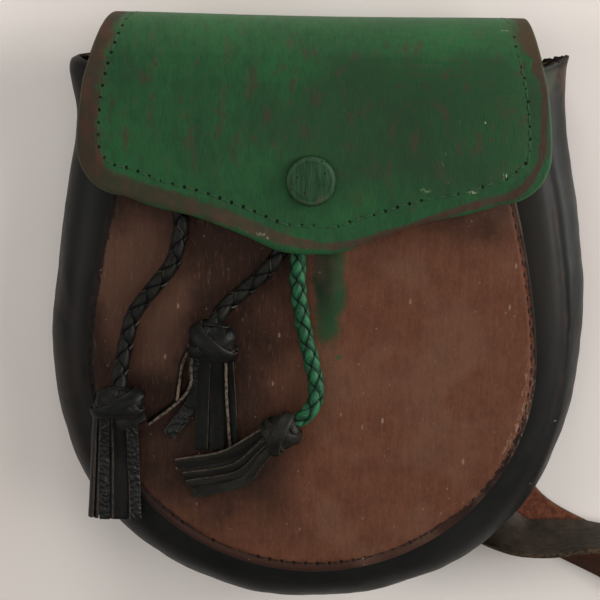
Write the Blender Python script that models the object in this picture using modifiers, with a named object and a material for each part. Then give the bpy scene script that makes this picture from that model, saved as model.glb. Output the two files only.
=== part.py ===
"""A leather sporran pouch that lies on its back.

A front panel and a back panel are joined by a deep rounded gusset. A flap folds over the mouth and is
held by a press stud. Three braided thongs with tassels hang on the front. A leather strap, sewn to the
back, runs under the pouch and makes a loop beside it.

+Z points out of the front, +Y towards the fold of the flap and +X to the right. The origin is on the
table, under the middle of the back. Sizes are in millimetres here and become metres in the meshes.
"""

from collections import namedtuple
from math import copysign, cos, pi, radians, sin

import bmesh
import bpy
import numpy as np
from mathutils import Vector

MM = 0.001
GAP = 0.3  # clearance between pieces that touch
CUTTER_LENGTH = 14.0  # of a hole's cutter, which passes one layer of leather

# Leather
PANEL_THICK = 2.5
GUSSET_THICK = 1.6
FLAP_THICK = 2.8
STRAP_THICK = 2.5
STRAP_WIDTH = 17.5

# Heights above the table
BACK_Z = STRAP_THICK + GAP  # underside of the back panel where it lies on the strap
FRONT_Z = 42.5  # underside of the front panel at its edge
FRONT_TOP = FRONT_Z + PANEL_THICK
FRONT_DOME = 1.5  # how far the middle of the front panel stands above its edge
DOME_HALF_WIDTH = 82.0
DOME_HALF_HEIGHT = 88.0

# The back panel sags from the strap to the table at its lower left
SAG_NEAR = 26.0  # distance from the strap's middle where the sag starts
SAG_FAR = 56.0  # distance where the leather lies on the table
STRAP_DIAGONAL = Vector((0.8, 0.6))  # unit vector across the strap's diagonal run

# Outlines seen from the front: the lower half is a rounded arch, and the sides run up to the mouth
Outline = namedtuple(
    "Outline", "half_width widest_y bottom_y roundness mouth_half mouth_y taper waist mouth_bow"
)
FRONT_EDGE = Outline(82.0, -8.0, -87.0, 2.0, 60.0, 92.0, 1.65, 0.0, 1.0)
BULGE_EDGE = Outline(98.0, 5.0, -101.0, 2.2, 91.0, 99.5, 1.3, 3.6, 0.0)
BACK_EDGE = Outline(84.0, -2.0, -89.0, 2.0, 79.0, 101.0, 1.6, 0.0, 1.0)
ARCH_SHARE = 0.57  # share of an outline's half length that is arch
WAIST_AT = 0.8  # how far up the side the waist is narrowest
OUTLINE_STEPS = 44  # steps round the gusset, mouth to mouth
MOUTH_STEPS = 6  # steps along a panel's mouth edge
PANEL_RINGS = (1.0, 0.88, 0.62, 0.3)  # rings of a panel's mesh, as shares of its outline

# Gusset section
SEAM_WIDTH = 7.0  # margin sewn under each panel
GUSSET_MID_Z = 23.5  # height of the widest line
SHOULDER_STEPS = 5
HEEL_STEPS = 4
BULGE_ROUNDNESS = 2.1
CREASE_DEPTH = 1.6  # a fold line down the shoulder on the right
CREASE_STEP = 2  # the shoulder's point that it follows
CREASE_LOW = 0.35  # stations between which the crease fades in and out
CREASE_HIGH = 0.95

# Flap: its front lies over the front panel, a half round fold leads back to the tail in the pouch
FLAP_TOP_Z = 55.2
FLAP_TAIL_Z = BACK_Z + PANEL_THICK + GAP
FOLD_RADIUS = (FLAP_TOP_Z - FLAP_TAIL_Z) / 2
FOLD_TOP_Y = 116.6  # furthest reach of the fold
FOLD_Y = FOLD_TOP_Y - FOLD_RADIUS  # where the fold starts
TAIL_Y = 72.0  # end of the tail
FLAP_HALF_AT_FOLD = 82.6
FLAP_HALF_AT_TAIL = 66.0
FLAP_NARROWING = 1.05  # how early the sides close in round the fold
FLAP_SIDE_DROP = 4.0  # how far the side edges bend down
FLAP_CORNER_RADIUS = 16.0
FLAP_HALF_WIDTH = 84.6
FLAP_CORNER_Y = 67.0  # height of the corner's centre
CORNER_SHARE = 8 / 13  # share of the columns that lie before the round corner
EdgePoint = namedtuple("EdgePoint", "x y")
FLAP_EDGE = (  # lower edge from the tongue's tip to the corner
    EdgePoint(0.0, 31.7),
    EdgePoint(11.0, 32.6),
    EdgePoint(23.0, 37.6),
    EdgePoint(40.0, 43.8),
    EdgePoint(56.0, 47.4),
    EdgePoint(68.6, 51.0),
)
FLAP_COLUMNS = 26
FLAP_FRONT_ROWS = 7
FLAP_FOLD_ROWS = 10
FLAP_TAIL_ROWS = 2

# Press stud
STUD_Y = 58.0
CAP_RADIUS = 9.0
CAP_THICK = 2.6
SHANK_RADIUS = 2.2
SOCKET_RADIUS = 5.5
SOCKET_THICK = 2.4
BASE_RADIUS = 5.0
BASE_KNOB_RADIUS = 3.2
POST_RADIUS = 1.6
WASHER_THICK = 1.2

# Braids: x, y and how far the middle line stands above where it would lie on the front panel
BRAID_RADIUS = 2.6
BRAID_STEP = 6.0
BraidPoint = namedtuple("BraidPoint", "x y rise")
BRAID_ROUTES = {
    "left": (
        BraidPoint(-48.7, 63.4, -8.2),
        BraidPoint(-48.4, 57.6, -2.6),
        BraidPoint(-48.0, 52.0, 0.0),
        BraidPoint(-47.4, 46.0, 0.1),
        BraidPoint(-46.9, 39.4, 0.1),
        BraidPoint(-48.0, 33.3, 0.1),
        BraidPoint(-50.1, 26.3, 0.1),
        BraidPoint(-54.7, 20.0, 0.1),
        BraidPoint(-59.4, 14.1, 0.1),
        BraidPoint(-63.8, 7.7, 0.1),
        BraidPoint(-65.9, 0.7, 0.1),
        BraidPoint(-67.3, -6.3, 0.6),
        BraidPoint(-68.3, -13.4, 2.4),
        BraidPoint(-68.7, -20.5, 3.4),
    ),
    "middle": (
        BraidPoint(-9.5, 50.0, -8.2),
        BraidPoint(-9.2, 44.2, -2.6),
        BraidPoint(-9.3, 38.8, 0.0),
        BraidPoint(-10.8, 32.8, 0.1),
        BraidPoint(-14.2, 27.0, 0.1),
        BraidPoint(-18.9, 21.8, 0.1),
        BraidPoint(-24.2, 17.2, 0.3),
        BraidPoint(-29.6, 12.4, 1.4),
        BraidPoint(-33.4, 7.2, 3.0),
        BraidPoint(-34.6, 3.0, 3.6),
    ),
    "right": (
        BraidPoint(-2.5, 50.0, -8.2),
        BraidPoint(-3.1, 44.2, -2.6),
        BraidPoint(-3.6, 38.6, 0.0),
        BraidPoint(-4.2, 32.2, 0.1),
        BraidPoint(-4.6, 25.6, 0.1),
        BraidPoint(-4.4, 19.0, 0.1),
        BraidPoint(-3.5, 12.4, 0.1),
        BraidPoint(-2.2, 4.8, 0.1),
        BraidPoint(-0.2, -3.2, 0.1),
        BraidPoint(1.8, -11.2, 0.1),
        BraidPoint(2.9, -18.6, 0.6),
        BraidPoint(1.2, -25.0, 2.2),
        BraidPoint(-4.4, -29.6, 3.2),
    ),
}
HOLE_HALF_WIDTH = 3.6  # oval hole where a braid goes through the front panel
HOLE_HALF_LENGTH = 8.6
HOLE_CENTRE_POINT = 1  # the route's point that the hole is placed from
HOLE_SHIFT_Y = 1.2

# Tassels: a flattened round head with strips of leather
STRIP_THICK = 1.4
STRIP_STEP = 8.0
FALL_PLACE = 0.38  # how far towards its middle point a strip has come down from the head
FALL_DEPTH = 0.4  # share of the way down that it has come there
Head = namedtuple("Head", "x y across along thick turn")
HEADS = {
    "left": Head(-68.6, -24.4, 10.0, 6.8, 6.0, 0.0),
    "middle": Head(-34.8, -0.8, 9.5, 7.9, 6.2, 0.0),
    "right": Head(-9.4, -33.6, 7.6, 8.0, 6.0, -58.0),
}
# Each strip runs from inside the head over a middle point to its tip. rise is its middle plane above
# the front panel, and roll turns its face about its length.
Strip = namedtuple("Strip", "root_x root_y mid_x mid_y tip_x tip_y width mid_rise tip_rise roll")
STRIPS = {
    "left": (
        Strip(-74.0, -25.5, -78.2, -46.0, -79.9, -69.2, 3.4, 1.9, 1.6, 20.0),
        Strip(-71.6, -26.0, -74.4, -46.0, -74.9, -69.0, 4.4, 1.9, 1.3, 0.0),
        Strip(-68.6, -26.0, -69.6, -46.0, -69.3, -68.8, 6.4, 1.2, 1.1, 0.0),
        Strip(-65.0, -26.0, -64.2, -48.0, -62.4, -68.6, 6.0, 2.2, 1.6, -8.0),
    ),
    "middle": (
        Strip(-41.0, -2.0, -46.4, -13.5, -48.2, -24.2, 3.8, 2.3, 2.2, 76.0),
        Strip(-39.5, -3.0, -44.6, -21.5, -58.6, -33.2, 3.6, 2.2, 2.1, 76.0),
        Strip(-38.0, -3.5, -41.6, -24.0, -51.0, -37.0, 3.4, 1.1, 1.1, 0.0),
        Strip(-36.5, -3.0, -38.6, -22.0, -40.0, -42.2, 4.4, 2.6, 1.4, 0.0),
        Strip(-34.0, -3.0, -33.2, -22.0, -33.0, -41.4, 5.2, 2.2, 1.4, 0.0),
        Strip(-31.5, -3.0, -29.4, -23.0, -29.2, -39.4, 3.8, 2.4, 2.1, 66.0),
    ),
    "right": (
        Strip(-10.5, -31.5, -27.0, -42.4, -47.7, -48.2, 3.4, 2.6, 2.0, -12.0),
        Strip(-10.5, -34.5, -26.6, -46.6, -46.6, -52.0, 3.6, 1.9, 1.4, 0.0),
        Strip(-11.0, -36.5, -25.4, -50.0, -44.4, -55.6, 3.8, 1.3, 1.1, 0.0),
        Strip(-12.0, -37.5, -23.8, -53.0, -41.0, -59.2, 3.4, 1.9, 1.2, 10.0),
    ),
}

# Strap: x and y of its middle line, height under its lowest edge, and roll. At roll 0 it lies flat
# with the grain up, at -90 it stands on edge with the grain outwards, at -180 the grain is down.
StrapPoint = namedtuple("StrapPoint", "x y lift roll")
STRAP_ROUTE = (
    StrapPoint(-57.0, 82.0, 0.0, 0.0),
    StrapPoint(-29.0, 41.0, 0.0, 0.0),
    StrapPoint(0.0, 0.0, 0.0, 0.0),
    StrapPoint(27.0, -39.0, 0.0, 0.0),
    StrapPoint(43.0, -61.0, 0.0, 0.0),
    StrapPoint(51.0, -68.0, 0.0, 0.0),
    StrapPoint(58.5, -72.3, 0.0, 0.0),
    StrapPoint(65.0, -74.6, 1.9, -12.0),
    StrapPoint(71.5, -77.0, 2.9, -30.0),
    StrapPoint(80.0, -79.9, 3.0, -52.0),
    StrapPoint(90.0, -80.1, 3.1, -54.0),
    StrapPoint(101.0, -79.0, 3.1, -61.0),
    StrapPoint(110.0, -78.9, 3.1, -71.0),
    StrapPoint(124.0, -79.2, 2.6, -82.0),
    StrapPoint(142.0, -79.0, 0.6, -88.0),
    StrapPoint(162.0, -78.6, 0.0, -90.0),
    StrapPoint(188.0, -79.0, 0.0, -90.0),
    StrapPoint(216.0, -80.5, 0.0, -90.0),
    StrapPoint(244.0, -83.0, 0.0, -90.0),
    StrapPoint(268.0, -90.0, 0.0, -90.0),
    StrapPoint(280.0, -104.0, 0.0, -90.0),
    StrapPoint(274.0, -121.0, 0.0, -90.0),
    StrapPoint(254.0, -130.0, 0.0, -90.0),
    StrapPoint(226.0, -130.0, 0.0, -90.0),
    StrapPoint(198.0, -124.6, 0.0, -104.0),
    StrapPoint(170.0, -115.0, 0.0, -140.0),
    StrapPoint(143.0, -103.6, 0.0, -172.0),
    StrapPoint(115.5, -89.4, 0.0, -180.0),
    StrapPoint(88.0, -74.2, 0.0, -180.0),
    StrapPoint(76.0, -60.5, 0.0, -180.0),
    StrapPoint(66.0, -42.0, 0.0, -180.0),
    StrapPoint(59.0, -18.0, 0.0, -180.0),
    StrapPoint(55.0, 10.0, 0.0, -180.0),
    StrapPoint(55.0, 45.0, 0.0, -180.0),
    StrapPoint(57.0, 82.0, 0.0, -180.0),
)
STRAP_STEP = 8.0

# Colours, as linear red, green and blue
GREEN_PAINT = (0.020, 0.075, 0.030)
BROWN_LEATHER = (0.100, 0.042, 0.028)
BLACK_LEATHER = (0.014, 0.014, 0.013)
BRAID_GREEN = (0.020, 0.130, 0.065)
STRAP_LEATHER = (0.050, 0.035, 0.026)


# ---------------------------------------------------------------- helpers


def clear_scene():
    for item in list(bpy.data.objects):
        bpy.data.objects.remove(item, do_unlink=True)


def new_collection(name):
    collection = bpy.data.collections.new(name)
    bpy.context.scene.collection.children.link(collection)
    return collection


def leather(name, colour, roughness=0.55, metallic=0.0):
    material = bpy.data.materials.new(name)
    material.use_nodes = True
    shader = material.node_tree.nodes["Principled BSDF"]
    shader.inputs["Base Color"].default_value = (*colour, 1.0)
    shader.inputs["Roughness"].default_value = roughness
    shader.inputs["Metallic"].default_value = metallic
    return material


def mesh_object(name, collection, vertices, faces, colour=None):
    """An object from vertices in millimetres."""
    mesh = bpy.data.meshes.new(name)
    mesh.from_pydata([Vector(v) * MM for v in vertices], [], faces)
    mesh.shade_smooth()
    thing = bpy.data.objects.new(name, mesh)
    collection.objects.link(thing)
    if colour:
        mesh.materials.append(leather(name, colour))
    return thing


def thicken(thing, thickness, offset):
    """Makes the sheet a shell. Offset 1 adds the leather on the side that the faces point to."""
    solid = thing.modifiers.new("thickness", "SOLIDIFY")
    solid.thickness = thickness * MM
    solid.offset = offset
    solid.use_even_offset = True


def cut(thing, cutter, operation="DIFFERENCE"):
    boolean = thing.modifiers.new(f"cut by {cutter.name}", "BOOLEAN")
    boolean.operation = operation
    boolean.object = cutter
    boolean.solver = "EXACT"


def as_cutter(thing):
    thing.hide_render = True
    thing.display_type = "WIRE"
    return thing


def smooth_step(value):
    value = min(max(value, 0.0), 1.0)
    return value * value * (3 - 2 * value)


def smooth_rows(rows, step):
    """Rows read at even steps from a smooth curve through the given rows, whatever their columns."""
    rows = np.array(rows, float)
    padded = np.vstack((2 * rows[0] - rows[1], rows, 2 * rows[-1] - rows[-2]))
    dense = []
    for a, b, c, d in zip(padded, padded[1:], padded[2:], padded[3:]):
        for t in np.linspace(0, 1, 24, endpoint=False):
            dense.append(
                0.5 * (2 * b + (c - a) * t + (2 * a - 5 * b + 4 * c - d) * t**2)
                + 0.5 * (3 * b - a - 3 * c + d) * t**3
            )
    dense = np.array(dense + [rows[-1]])
    along = np.concatenate(([0], np.cumsum(np.linalg.norm(np.diff(dense[:, :2], axis=0), axis=1))))
    stations = np.linspace(0, along[-1], max(2, round(along[-1] / step) + 1))
    return np.array([np.interp(stations, along, column) for column in dense.T]).T


def front_top(x, y):
    """Height of the front panel's upper face."""
    share = 1 - (x / DOME_HALF_WIDTH) ** 2 - (y / DOME_HALF_HEIGHT) ** 2
    return FRONT_TOP + FRONT_DOME * max(share, 0.0)


def back_under(x, y):
    """Height of the back panel's lower face, which sags to the table beside the strap."""
    distance = -(STRAP_DIAGONAL.x * x + STRAP_DIAGONAL.y * y)
    return BACK_Z * (1 - smooth_step((distance - SAG_NEAR) / (SAG_FAR - SAG_NEAR)))


# ---------------------------------------------------------------- outlines


def waist_shape(climb):
    """Rises slowly from the widest line, peaks at the waist and is nothing at the mouth."""
    return climb**4 * (1 - climb)


def edge_point(outline, s):
    """A point of the outline: s is 0 at the bottom and runs to 1 and -1 at the mouth's corners."""
    share = abs(s)
    if share < ARCH_SHARE:
        angle = share / ARCH_SHARE * pi / 2
        power = 2 / outline.roundness
        x = outline.half_width * sin(angle) ** power
        y = outline.widest_y - (outline.widest_y - outline.bottom_y) * cos(angle) ** power
    else:
        climb = (share - ARCH_SHARE) / (1 - ARCH_SHARE)
        x = outline.half_width - (outline.half_width - outline.mouth_half) * climb**outline.taper
        x -= outline.waist * waist_shape(climb) / waist_shape(WAIST_AT)
        y = outline.widest_y + climb * (outline.mouth_y - outline.widest_y)
    return Vector((copysign(x, s), y))


def inward(outline, s):
    """Unit vector from the outline into the panel."""
    span = 0.01
    before = edge_point(outline, max(s - span, -1.0))
    after = edge_point(outline, min(s + span, 1.0))
    along = (after - before).normalized()
    return Vector((-along.y, along.x))


def outline_stations():
    return [2 * i / OUTLINE_STEPS - 1 for i in range(OUTLINE_STEPS + 1)]


def closed_outline(outline):
    """The whole edge of a panel: round the bottom from left to right, then back along the mouth."""
    points = [edge_point(outline, s) for s in outline_stations()]
    for i in range(1, MOUTH_STEPS):
        across = 1 - 2 * i / MOUTH_STEPS
        bow = outline.mouth_bow * (1 - across**2)
        points.append(Vector((across * outline.mouth_half, outline.mouth_y + bow)))
    return points


def panel(name, collection, outline, height, colour):
    """A panel as rings from its outline to its middle, at the height that the function gives."""
    edge = closed_outline(outline)
    count = len(edge)
    vertices = []
    for ring in PANEL_RINGS:
        for point in edge:
            x, y = point * ring
            vertices.append((x, y, height(x, y)))
    middle = len(vertices)
    vertices.append((0, 0, height(0, 0)))
    faces = []
    for ring in range(len(PANEL_RINGS) - 1):
        for i in range(count):
            j = (i + 1) % count
            outer, inner = ring * count, (ring + 1) * count
            faces.append((outer + i, outer + j, inner + j, inner + i))
    last = (len(PANEL_RINGS) - 1) * count
    for i in range(count):
        faces.append((last + i, last + (i + 1) % count, middle))
    thing = mesh_object(name, collection, vertices, faces, colour)
    thicken(thing, PANEL_THICK, 1)
    return thing


# ---------------------------------------------------------------- pouch


def make_front_panel(collection, cutters):
    thing = panel(
        "front_panel",
        collection,
        FRONT_EDGE,
        lambda x, y: front_top(x, y) - PANEL_THICK,
        BROWN_LEATHER,
    )
    for side, route in BRAID_ROUTES.items():
        hole = oval_hole_cutter(f"hole_{side}", cutters, route[HOLE_CENTRE_POINT])
        cut(thing, hole)
    cut(thing, round_cutter("post_hole", cutters, POST_RADIUS + GAP, FRONT_Z))
    return thing


def make_back_panel(collection):
    return panel("back_panel", collection, BACK_EDGE, back_under, BROWN_LEATHER)


def crease_depth(s):
    share = (s - CREASE_LOW) / (CREASE_HIGH - CREASE_LOW)
    return CREASE_DEPTH * sin(pi * share) if 0 < share < 1 else 0.0


def gusset_section(s):
    """Points of the gusset's outer face at one station, from the front seam round to the back seam."""
    front = edge_point(FRONT_EDGE, s)
    bulge = edge_point(BULGE_EDGE, s)
    back = edge_point(BACK_EDGE, s)
    front_z = FRONT_Z - GAP
    back_z = back_under(back.x, back.y) + PANEL_THICK + GAP
    power = 2 / BULGE_ROUNDNESS
    section = []
    seam = front + inward(FRONT_EDGE, s) * SEAM_WIDTH
    section.append((seam.x, seam.y, front_z + front_top(seam.x, seam.y) - FRONT_TOP))
    for i in range(SHOULDER_STEPS):
        angle = i / SHOULDER_STEPS * pi / 2
        point = front.lerp(bulge, sin(angle) ** power)
        z = GUSSET_MID_Z + (front_z - GUSSET_MID_Z) * cos(angle) ** power
        if i == CREASE_STEP:
            z -= crease_depth(s)
        section.append((point.x, point.y, z))
    for i in range(HEEL_STEPS + 1):
        angle = i / HEEL_STEPS * pi / 2
        point = back.lerp(bulge, cos(angle) ** power)
        section.append((point.x, point.y, GUSSET_MID_Z + (back_z - GUSSET_MID_Z) * sin(angle) ** power))
    seam = back + inward(BACK_EDGE, s) * SEAM_WIDTH
    section.append((seam.x, seam.y, back_under(seam.x, seam.y) + PANEL_THICK + GAP))
    return section


def make_gusset(collection):
    sections = [gusset_section(s) for s in outline_stations()]
    size = len(sections[0])
    vertices = [point for section in sections for point in section]
    faces = []
    for i in range(len(sections) - 1):
        for j in range(size - 1):
            a, b = i * size + j, (i + 1) * size + j
            faces.append((a, a + 1, b + 1, b))
    thing = mesh_object("gusset", collection, vertices, faces, BLACK_LEATHER)
    thicken(thing, GUSSET_THICK, -1)
    return thing


# ---------------------------------------------------------------- flap


def flap_half_width(length):
    """Half width of the flap at a length past the start of the fold, towards the tail."""
    fold = pi * FOLD_RADIUS
    if length < 0:
        rise = min(-length / (FOLD_Y - FLAP_CORNER_Y), 1.0)
        return FLAP_HALF_AT_FOLD + (FLAP_HALF_WIDTH - FLAP_HALF_AT_FOLD) * sin(rise * pi / 2)
    share = min(length / fold, 1.0)
    return FLAP_HALF_AT_TAIL + (FLAP_HALF_AT_FOLD - FLAP_HALF_AT_TAIL) * (1 - share) ** FLAP_NARROWING


def flap_edge_point(column):
    """A point of the flap's lower edge: column is 0 at the tongue's tip and 1 where the side starts."""
    share = abs(column)
    if share <= CORNER_SHARE:
        x = share / CORNER_SHARE * FLAP_EDGE[-1].x
        curve = smooth_rows(FLAP_EDGE, 1.0)
        y = float(np.interp(x, curve[:, 0], curve[:, 1]))
    else:
        angle = (share - CORNER_SHARE) / (1 - CORNER_SHARE) * pi / 2
        x = FLAP_HALF_WIDTH - FLAP_CORNER_RADIUS * (1 - sin(angle))
        y = FLAP_CORNER_Y - FLAP_CORNER_RADIUS * cos(angle)
    return Vector((copysign(x, column), y))


def flap_column(column):
    """Points of the flap's outer face along one column, from the lower edge to the tail."""
    start = flap_edge_point(column)
    across = start.x / FLAP_HALF_WIDTH
    drop = FLAP_SIDE_DROP * abs(across) ** 6
    points = []
    for i in range(FLAP_FRONT_ROWS):
        y = start.y + (FOLD_Y - start.y) * i / FLAP_FRONT_ROWS
        points.append((across * flap_half_width(y - FOLD_Y), y, FLAP_TOP_Z - drop))
    middle_z = (FLAP_TOP_Z + FLAP_TAIL_Z) / 2
    for i in range(FLAP_FOLD_ROWS + 1):
        angle = i / FLAP_FOLD_ROWS * pi
        radius = FOLD_RADIUS - drop * cos(angle / 2) ** 2
        x = across * flap_half_width(angle * FOLD_RADIUS)
        points.append((x, FOLD_Y + radius * sin(angle), middle_z + radius * cos(angle)))
    for i in range(1, FLAP_TAIL_ROWS + 1):
        y = FOLD_Y + (TAIL_Y - FOLD_Y) * i / FLAP_TAIL_ROWS
        points.append((across * FLAP_HALF_AT_TAIL, y, FLAP_TAIL_Z))
    return points


def make_flap(collection, cutters):
    columns = [flap_column(2 * i / FLAP_COLUMNS - 1) for i in range(FLAP_COLUMNS + 1)]
    size = len(columns[0])
    vertices = [point for column in columns for point in column]
    faces = []
    for i in range(len(columns) - 1):
        for j in range(size - 1):
            a, b = i * size + j, (i + 1) * size + j
            faces.append((a, b, b + 1, a + 1))
    thing = mesh_object("flap", collection, vertices, faces, GREEN_PAINT)
    thicken(thing, FLAP_THICK, -1)
    cut(thing, round_cutter("shank_hole", cutters, SHANK_RADIUS + GAP, FLAP_TOP_Z))
    return thing


# ---------------------------------------------------------------- press stud


def turned(name, collection, profile, steps, colour):
    """A turned piece on the stud's axis. The profile runs down its outer side, axis to axis."""
    vertices = [(radius, 0, z) for radius, z in profile]
    mesh = bpy.data.meshes.new(name)
    edges = [(i, i + 1) for i in range(len(vertices) - 1)]
    mesh.from_pydata([Vector(v) * MM for v in vertices], edges, [])
    mesh.materials.append(leather(name, colour, 0.4, 0.2))
    thing = bpy.data.objects.new(name, mesh)
    thing.location = Vector((0, STUD_Y, 0)) * MM
    collection.objects.link(thing)
    screw = thing.modifiers.new("turn", "SCREW")
    screw.steps = steps
    screw.render_steps = steps
    screw.use_merge_vertices = True
    screw.merge_threshold = 0.00005
    return thing


def make_snap_stud(collection):
    cap_z = FLAP_TOP_Z + GAP
    socket_top = FLAP_TOP_Z - FLAP_THICK - GAP
    socket_bottom = socket_top - SOCKET_THICK
    profile = (
        (0, cap_z + CAP_THICK),
        (CAP_RADIUS - 2.2, cap_z + CAP_THICK - 0.2),
        (CAP_RADIUS - 0.5, cap_z + CAP_THICK - 0.9),
        (CAP_RADIUS, cap_z + 1.0),
        (CAP_RADIUS - 0.4, cap_z),
        (SHANK_RADIUS, cap_z),
        (SHANK_RADIUS, socket_top),
        (SOCKET_RADIUS, socket_top),
        (SOCKET_RADIUS, socket_bottom),
        (0, socket_bottom),
    )
    return turned("snap_stud", collection, profile, 24, GREEN_PAINT)


def make_snap_base(collection):
    panel_top = front_top(0, STUD_Y)
    knob_top = FLAP_TOP_Z - FLAP_THICK - GAP - SOCKET_THICK - GAP
    flange_bottom = panel_top + GAP
    washer_top = panel_top - PANEL_THICK - GAP
    profile = (
        (0, knob_top),
        (BASE_KNOB_RADIUS, knob_top),
        (BASE_KNOB_RADIUS, flange_bottom + WASHER_THICK),
        (BASE_RADIUS, flange_bottom + WASHER_THICK),
        (BASE_RADIUS, flange_bottom),
        (POST_RADIUS, flange_bottom),
        (POST_RADIUS, washer_top),
        (BASE_RADIUS, washer_top),
        (BASE_RADIUS, washer_top - WASHER_THICK),
        (0, washer_top - WASHER_THICK),
    )
    return turned("snap_base", collection, profile, 16, BLACK_LEATHER)


def round_cutter(name, cutters, radius, z):
    """A round hole's cutter on the stud's axis."""
    bpy.ops.mesh.primitive_cylinder_add(
        vertices=16,
        radius=radius * MM,
        depth=CUTTER_LENGTH * MM,
        location=Vector((0, STUD_Y, z)) * MM,
    )
    return stow_cutter(name, cutters)


def oval_hole_cutter(name, cutters, point):
    bpy.ops.mesh.primitive_cylinder_add(
        vertices=16,
        radius=MM,
        depth=CUTTER_LENGTH * MM,
        location=Vector((point.x, point.y + HOLE_SHIFT_Y, FRONT_Z)) * MM,
    )
    bpy.context.object.scale = (HOLE_HALF_WIDTH, HOLE_HALF_LENGTH, 1)
    return stow_cutter(name, cutters)


def stow_cutter(name, cutters):
    """Names the new primitive and moves it to the cutters' collection."""
    thing = bpy.context.object
    thing.name = name
    for collection in list(thing.users_collection):
        collection.objects.unlink(thing)
    cutters.objects.link(thing)
    return as_cutter(thing)


# ---------------------------------------------------------------- braids


def braid_line(side):
    """The braid's middle line as evenly spaced points."""
    line = []
    for x, y, rise in smooth_rows(BRAID_ROUTES[side], BRAID_STEP):
        line.append(Vector((x, y, front_top(x, y) + GAP + BRAID_RADIUS + rise)))
    return line


def tube(name, collection, line, radius):
    """A round tube with flat ends along the points."""
    curve = bpy.data.curves.new(name, "CURVE")
    curve.dimensions = "3D"
    curve.bevel_depth = radius * MM
    curve.bevel_resolution = 2
    curve.use_fill_caps = True
    spline = curve.splines.new("POLY")
    spline.points.add(len(line) - 1)
    for point, place in zip(spline.points, line):
        point.co = (*(place * MM), 1)
    thing = bpy.data.objects.new(name, curve)
    collection.objects.link(thing)
    return thing


def tube_as_mesh(name, collection, line, radius):
    """The same tube as a welded mesh, so that it can cut."""
    guide = tube(f"{name}_guide", collection, line, radius)
    bpy.context.view_layer.update()
    evaluated = guide.evaluated_get(bpy.context.evaluated_depsgraph_get())
    mesh = bpy.data.meshes.new_from_object(evaluated)
    thing = bpy.data.objects.new(name, mesh)
    thing.matrix_world = guide.matrix_world
    collection.objects.link(thing)
    bpy.data.objects.remove(guide, do_unlink=True)
    welded = bmesh.new()
    welded.from_mesh(mesh)
    bmesh.ops.remove_doubles(welded, verts=welded.verts, dist=0.00002)
    bmesh.ops.recalc_face_normals(welded, faces=welded.faces)
    welded.to_mesh(mesh)
    welded.free()
    return thing


def make_braids(collection):
    colours = {"left": BLACK_LEATHER, "middle": BLACK_LEATHER, "right": BRAID_GREEN}
    for side in BRAID_ROUTES:
        thing = tube(f"braid_{side}", collection, braid_line(side), BRAID_RADIUS)
        thing.data.materials.append(leather(thing.name, colours[side]))


# ---------------------------------------------------------------- ribbons and tassels


def ribbon(name, collection, sections, width, thickness, colour):
    """A flat strip with square edges. Each section is a middle point, a length axis and a roll."""
    vertices = []
    for middle, along, roll in sections:
        left = Vector((-along.y, along.x, 0)).normalized()
        up = along.cross(left)
        across = left * cos(roll) + up * sin(roll)
        face = up * cos(roll) - left * sin(roll)
        for a, b in ((-1, -1), (1, -1), (1, 1), (-1, 1)):
            vertices.append(middle + across * a * width / 2 + face * b * thickness / 2)
    faces = [(3, 2, 1, 0)]
    for i in range(len(sections) - 1):
        for j in range(4):
            a, b = 4 * i + j, 4 * i + (j + 1) % 4
            faces.append((a, b, b + 4, a + 4))
    end = 4 * len(sections) - 4
    faces.append((end, end + 1, end + 2, end + 3))
    return mesh_object(name, collection, vertices, faces, colour)


def with_directions(points, rolls):
    """Sections for a ribbon from its middle points and rolls in degrees."""
    sections = []
    for i, (point, roll) in enumerate(zip(points, rolls)):
        along = points[min(i + 1, len(points) - 1)] - points[max(i - 1, 0)]
        sections.append((point, along.normalized(), radians(roll)))
    return sections


def strip_points(strip, head):
    """Middle points of a tassel's strip: from the head's middle height down to the front panel."""
    root = Vector((strip.root_x, strip.root_y, head.thick + GAP))
    middle = Vector((strip.mid_x, strip.mid_y, strip.mid_rise))
    tip = Vector((strip.tip_x, strip.tip_y, strip.tip_rise))
    fall = root.lerp(middle, FALL_PLACE)
    fall.z = root.z + (middle.z - root.z) * FALL_DEPTH
    rows = (root, fall, middle, tip)
    return [Vector((x, y, front_top(x, y) + rise)) for x, y, rise in smooth_rows(rows, STRIP_STEP)]


def make_strip(name, cutters, strip, head):
    points = strip_points(strip, head)
    thing = ribbon(
        name,
        cutters,
        with_directions(points, [strip.roll] * len(points)),
        strip.width,
        STRIP_THICK,
        None,
    )
    return as_cutter(thing)


def make_tassel(side, collection, cutters):
    """The head with its strips joined to it, and a socket for the braid."""
    head = HEADS[side]
    middle_z = front_top(head.x, head.y) + GAP + head.thick
    bpy.ops.mesh.primitive_uv_sphere_add(segments=14, ring_count=8, radius=MM)
    thing = bpy.context.object
    thing.name = f"tassel_{side}"
    for old in list(thing.users_collection):
        old.objects.unlink(thing)
    collection.objects.link(thing)
    thing.location = Vector((head.x, head.y, middle_z)) * MM
    thing.rotation_euler = (0, 0, radians(head.turn))
    thing.scale = (head.across, head.along, head.thick)
    thing.data.materials.append(leather(thing.name, BLACK_LEATHER))
    for i, strip in enumerate(STRIPS[side]):
        cut(thing, make_strip(f"strip_{side}_{i}", cutters, strip, head), "UNION")
    line = braid_line(side)
    line.append(line[-1] + (line[-1] - line[-2]).normalized() * GAP)
    socket = tube_as_mesh(f"socket_{side}", cutters, line[-4:], BRAID_RADIUS + GAP)
    cut(thing, as_cutter(socket))
    return thing


# ---------------------------------------------------------------- strap


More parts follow.
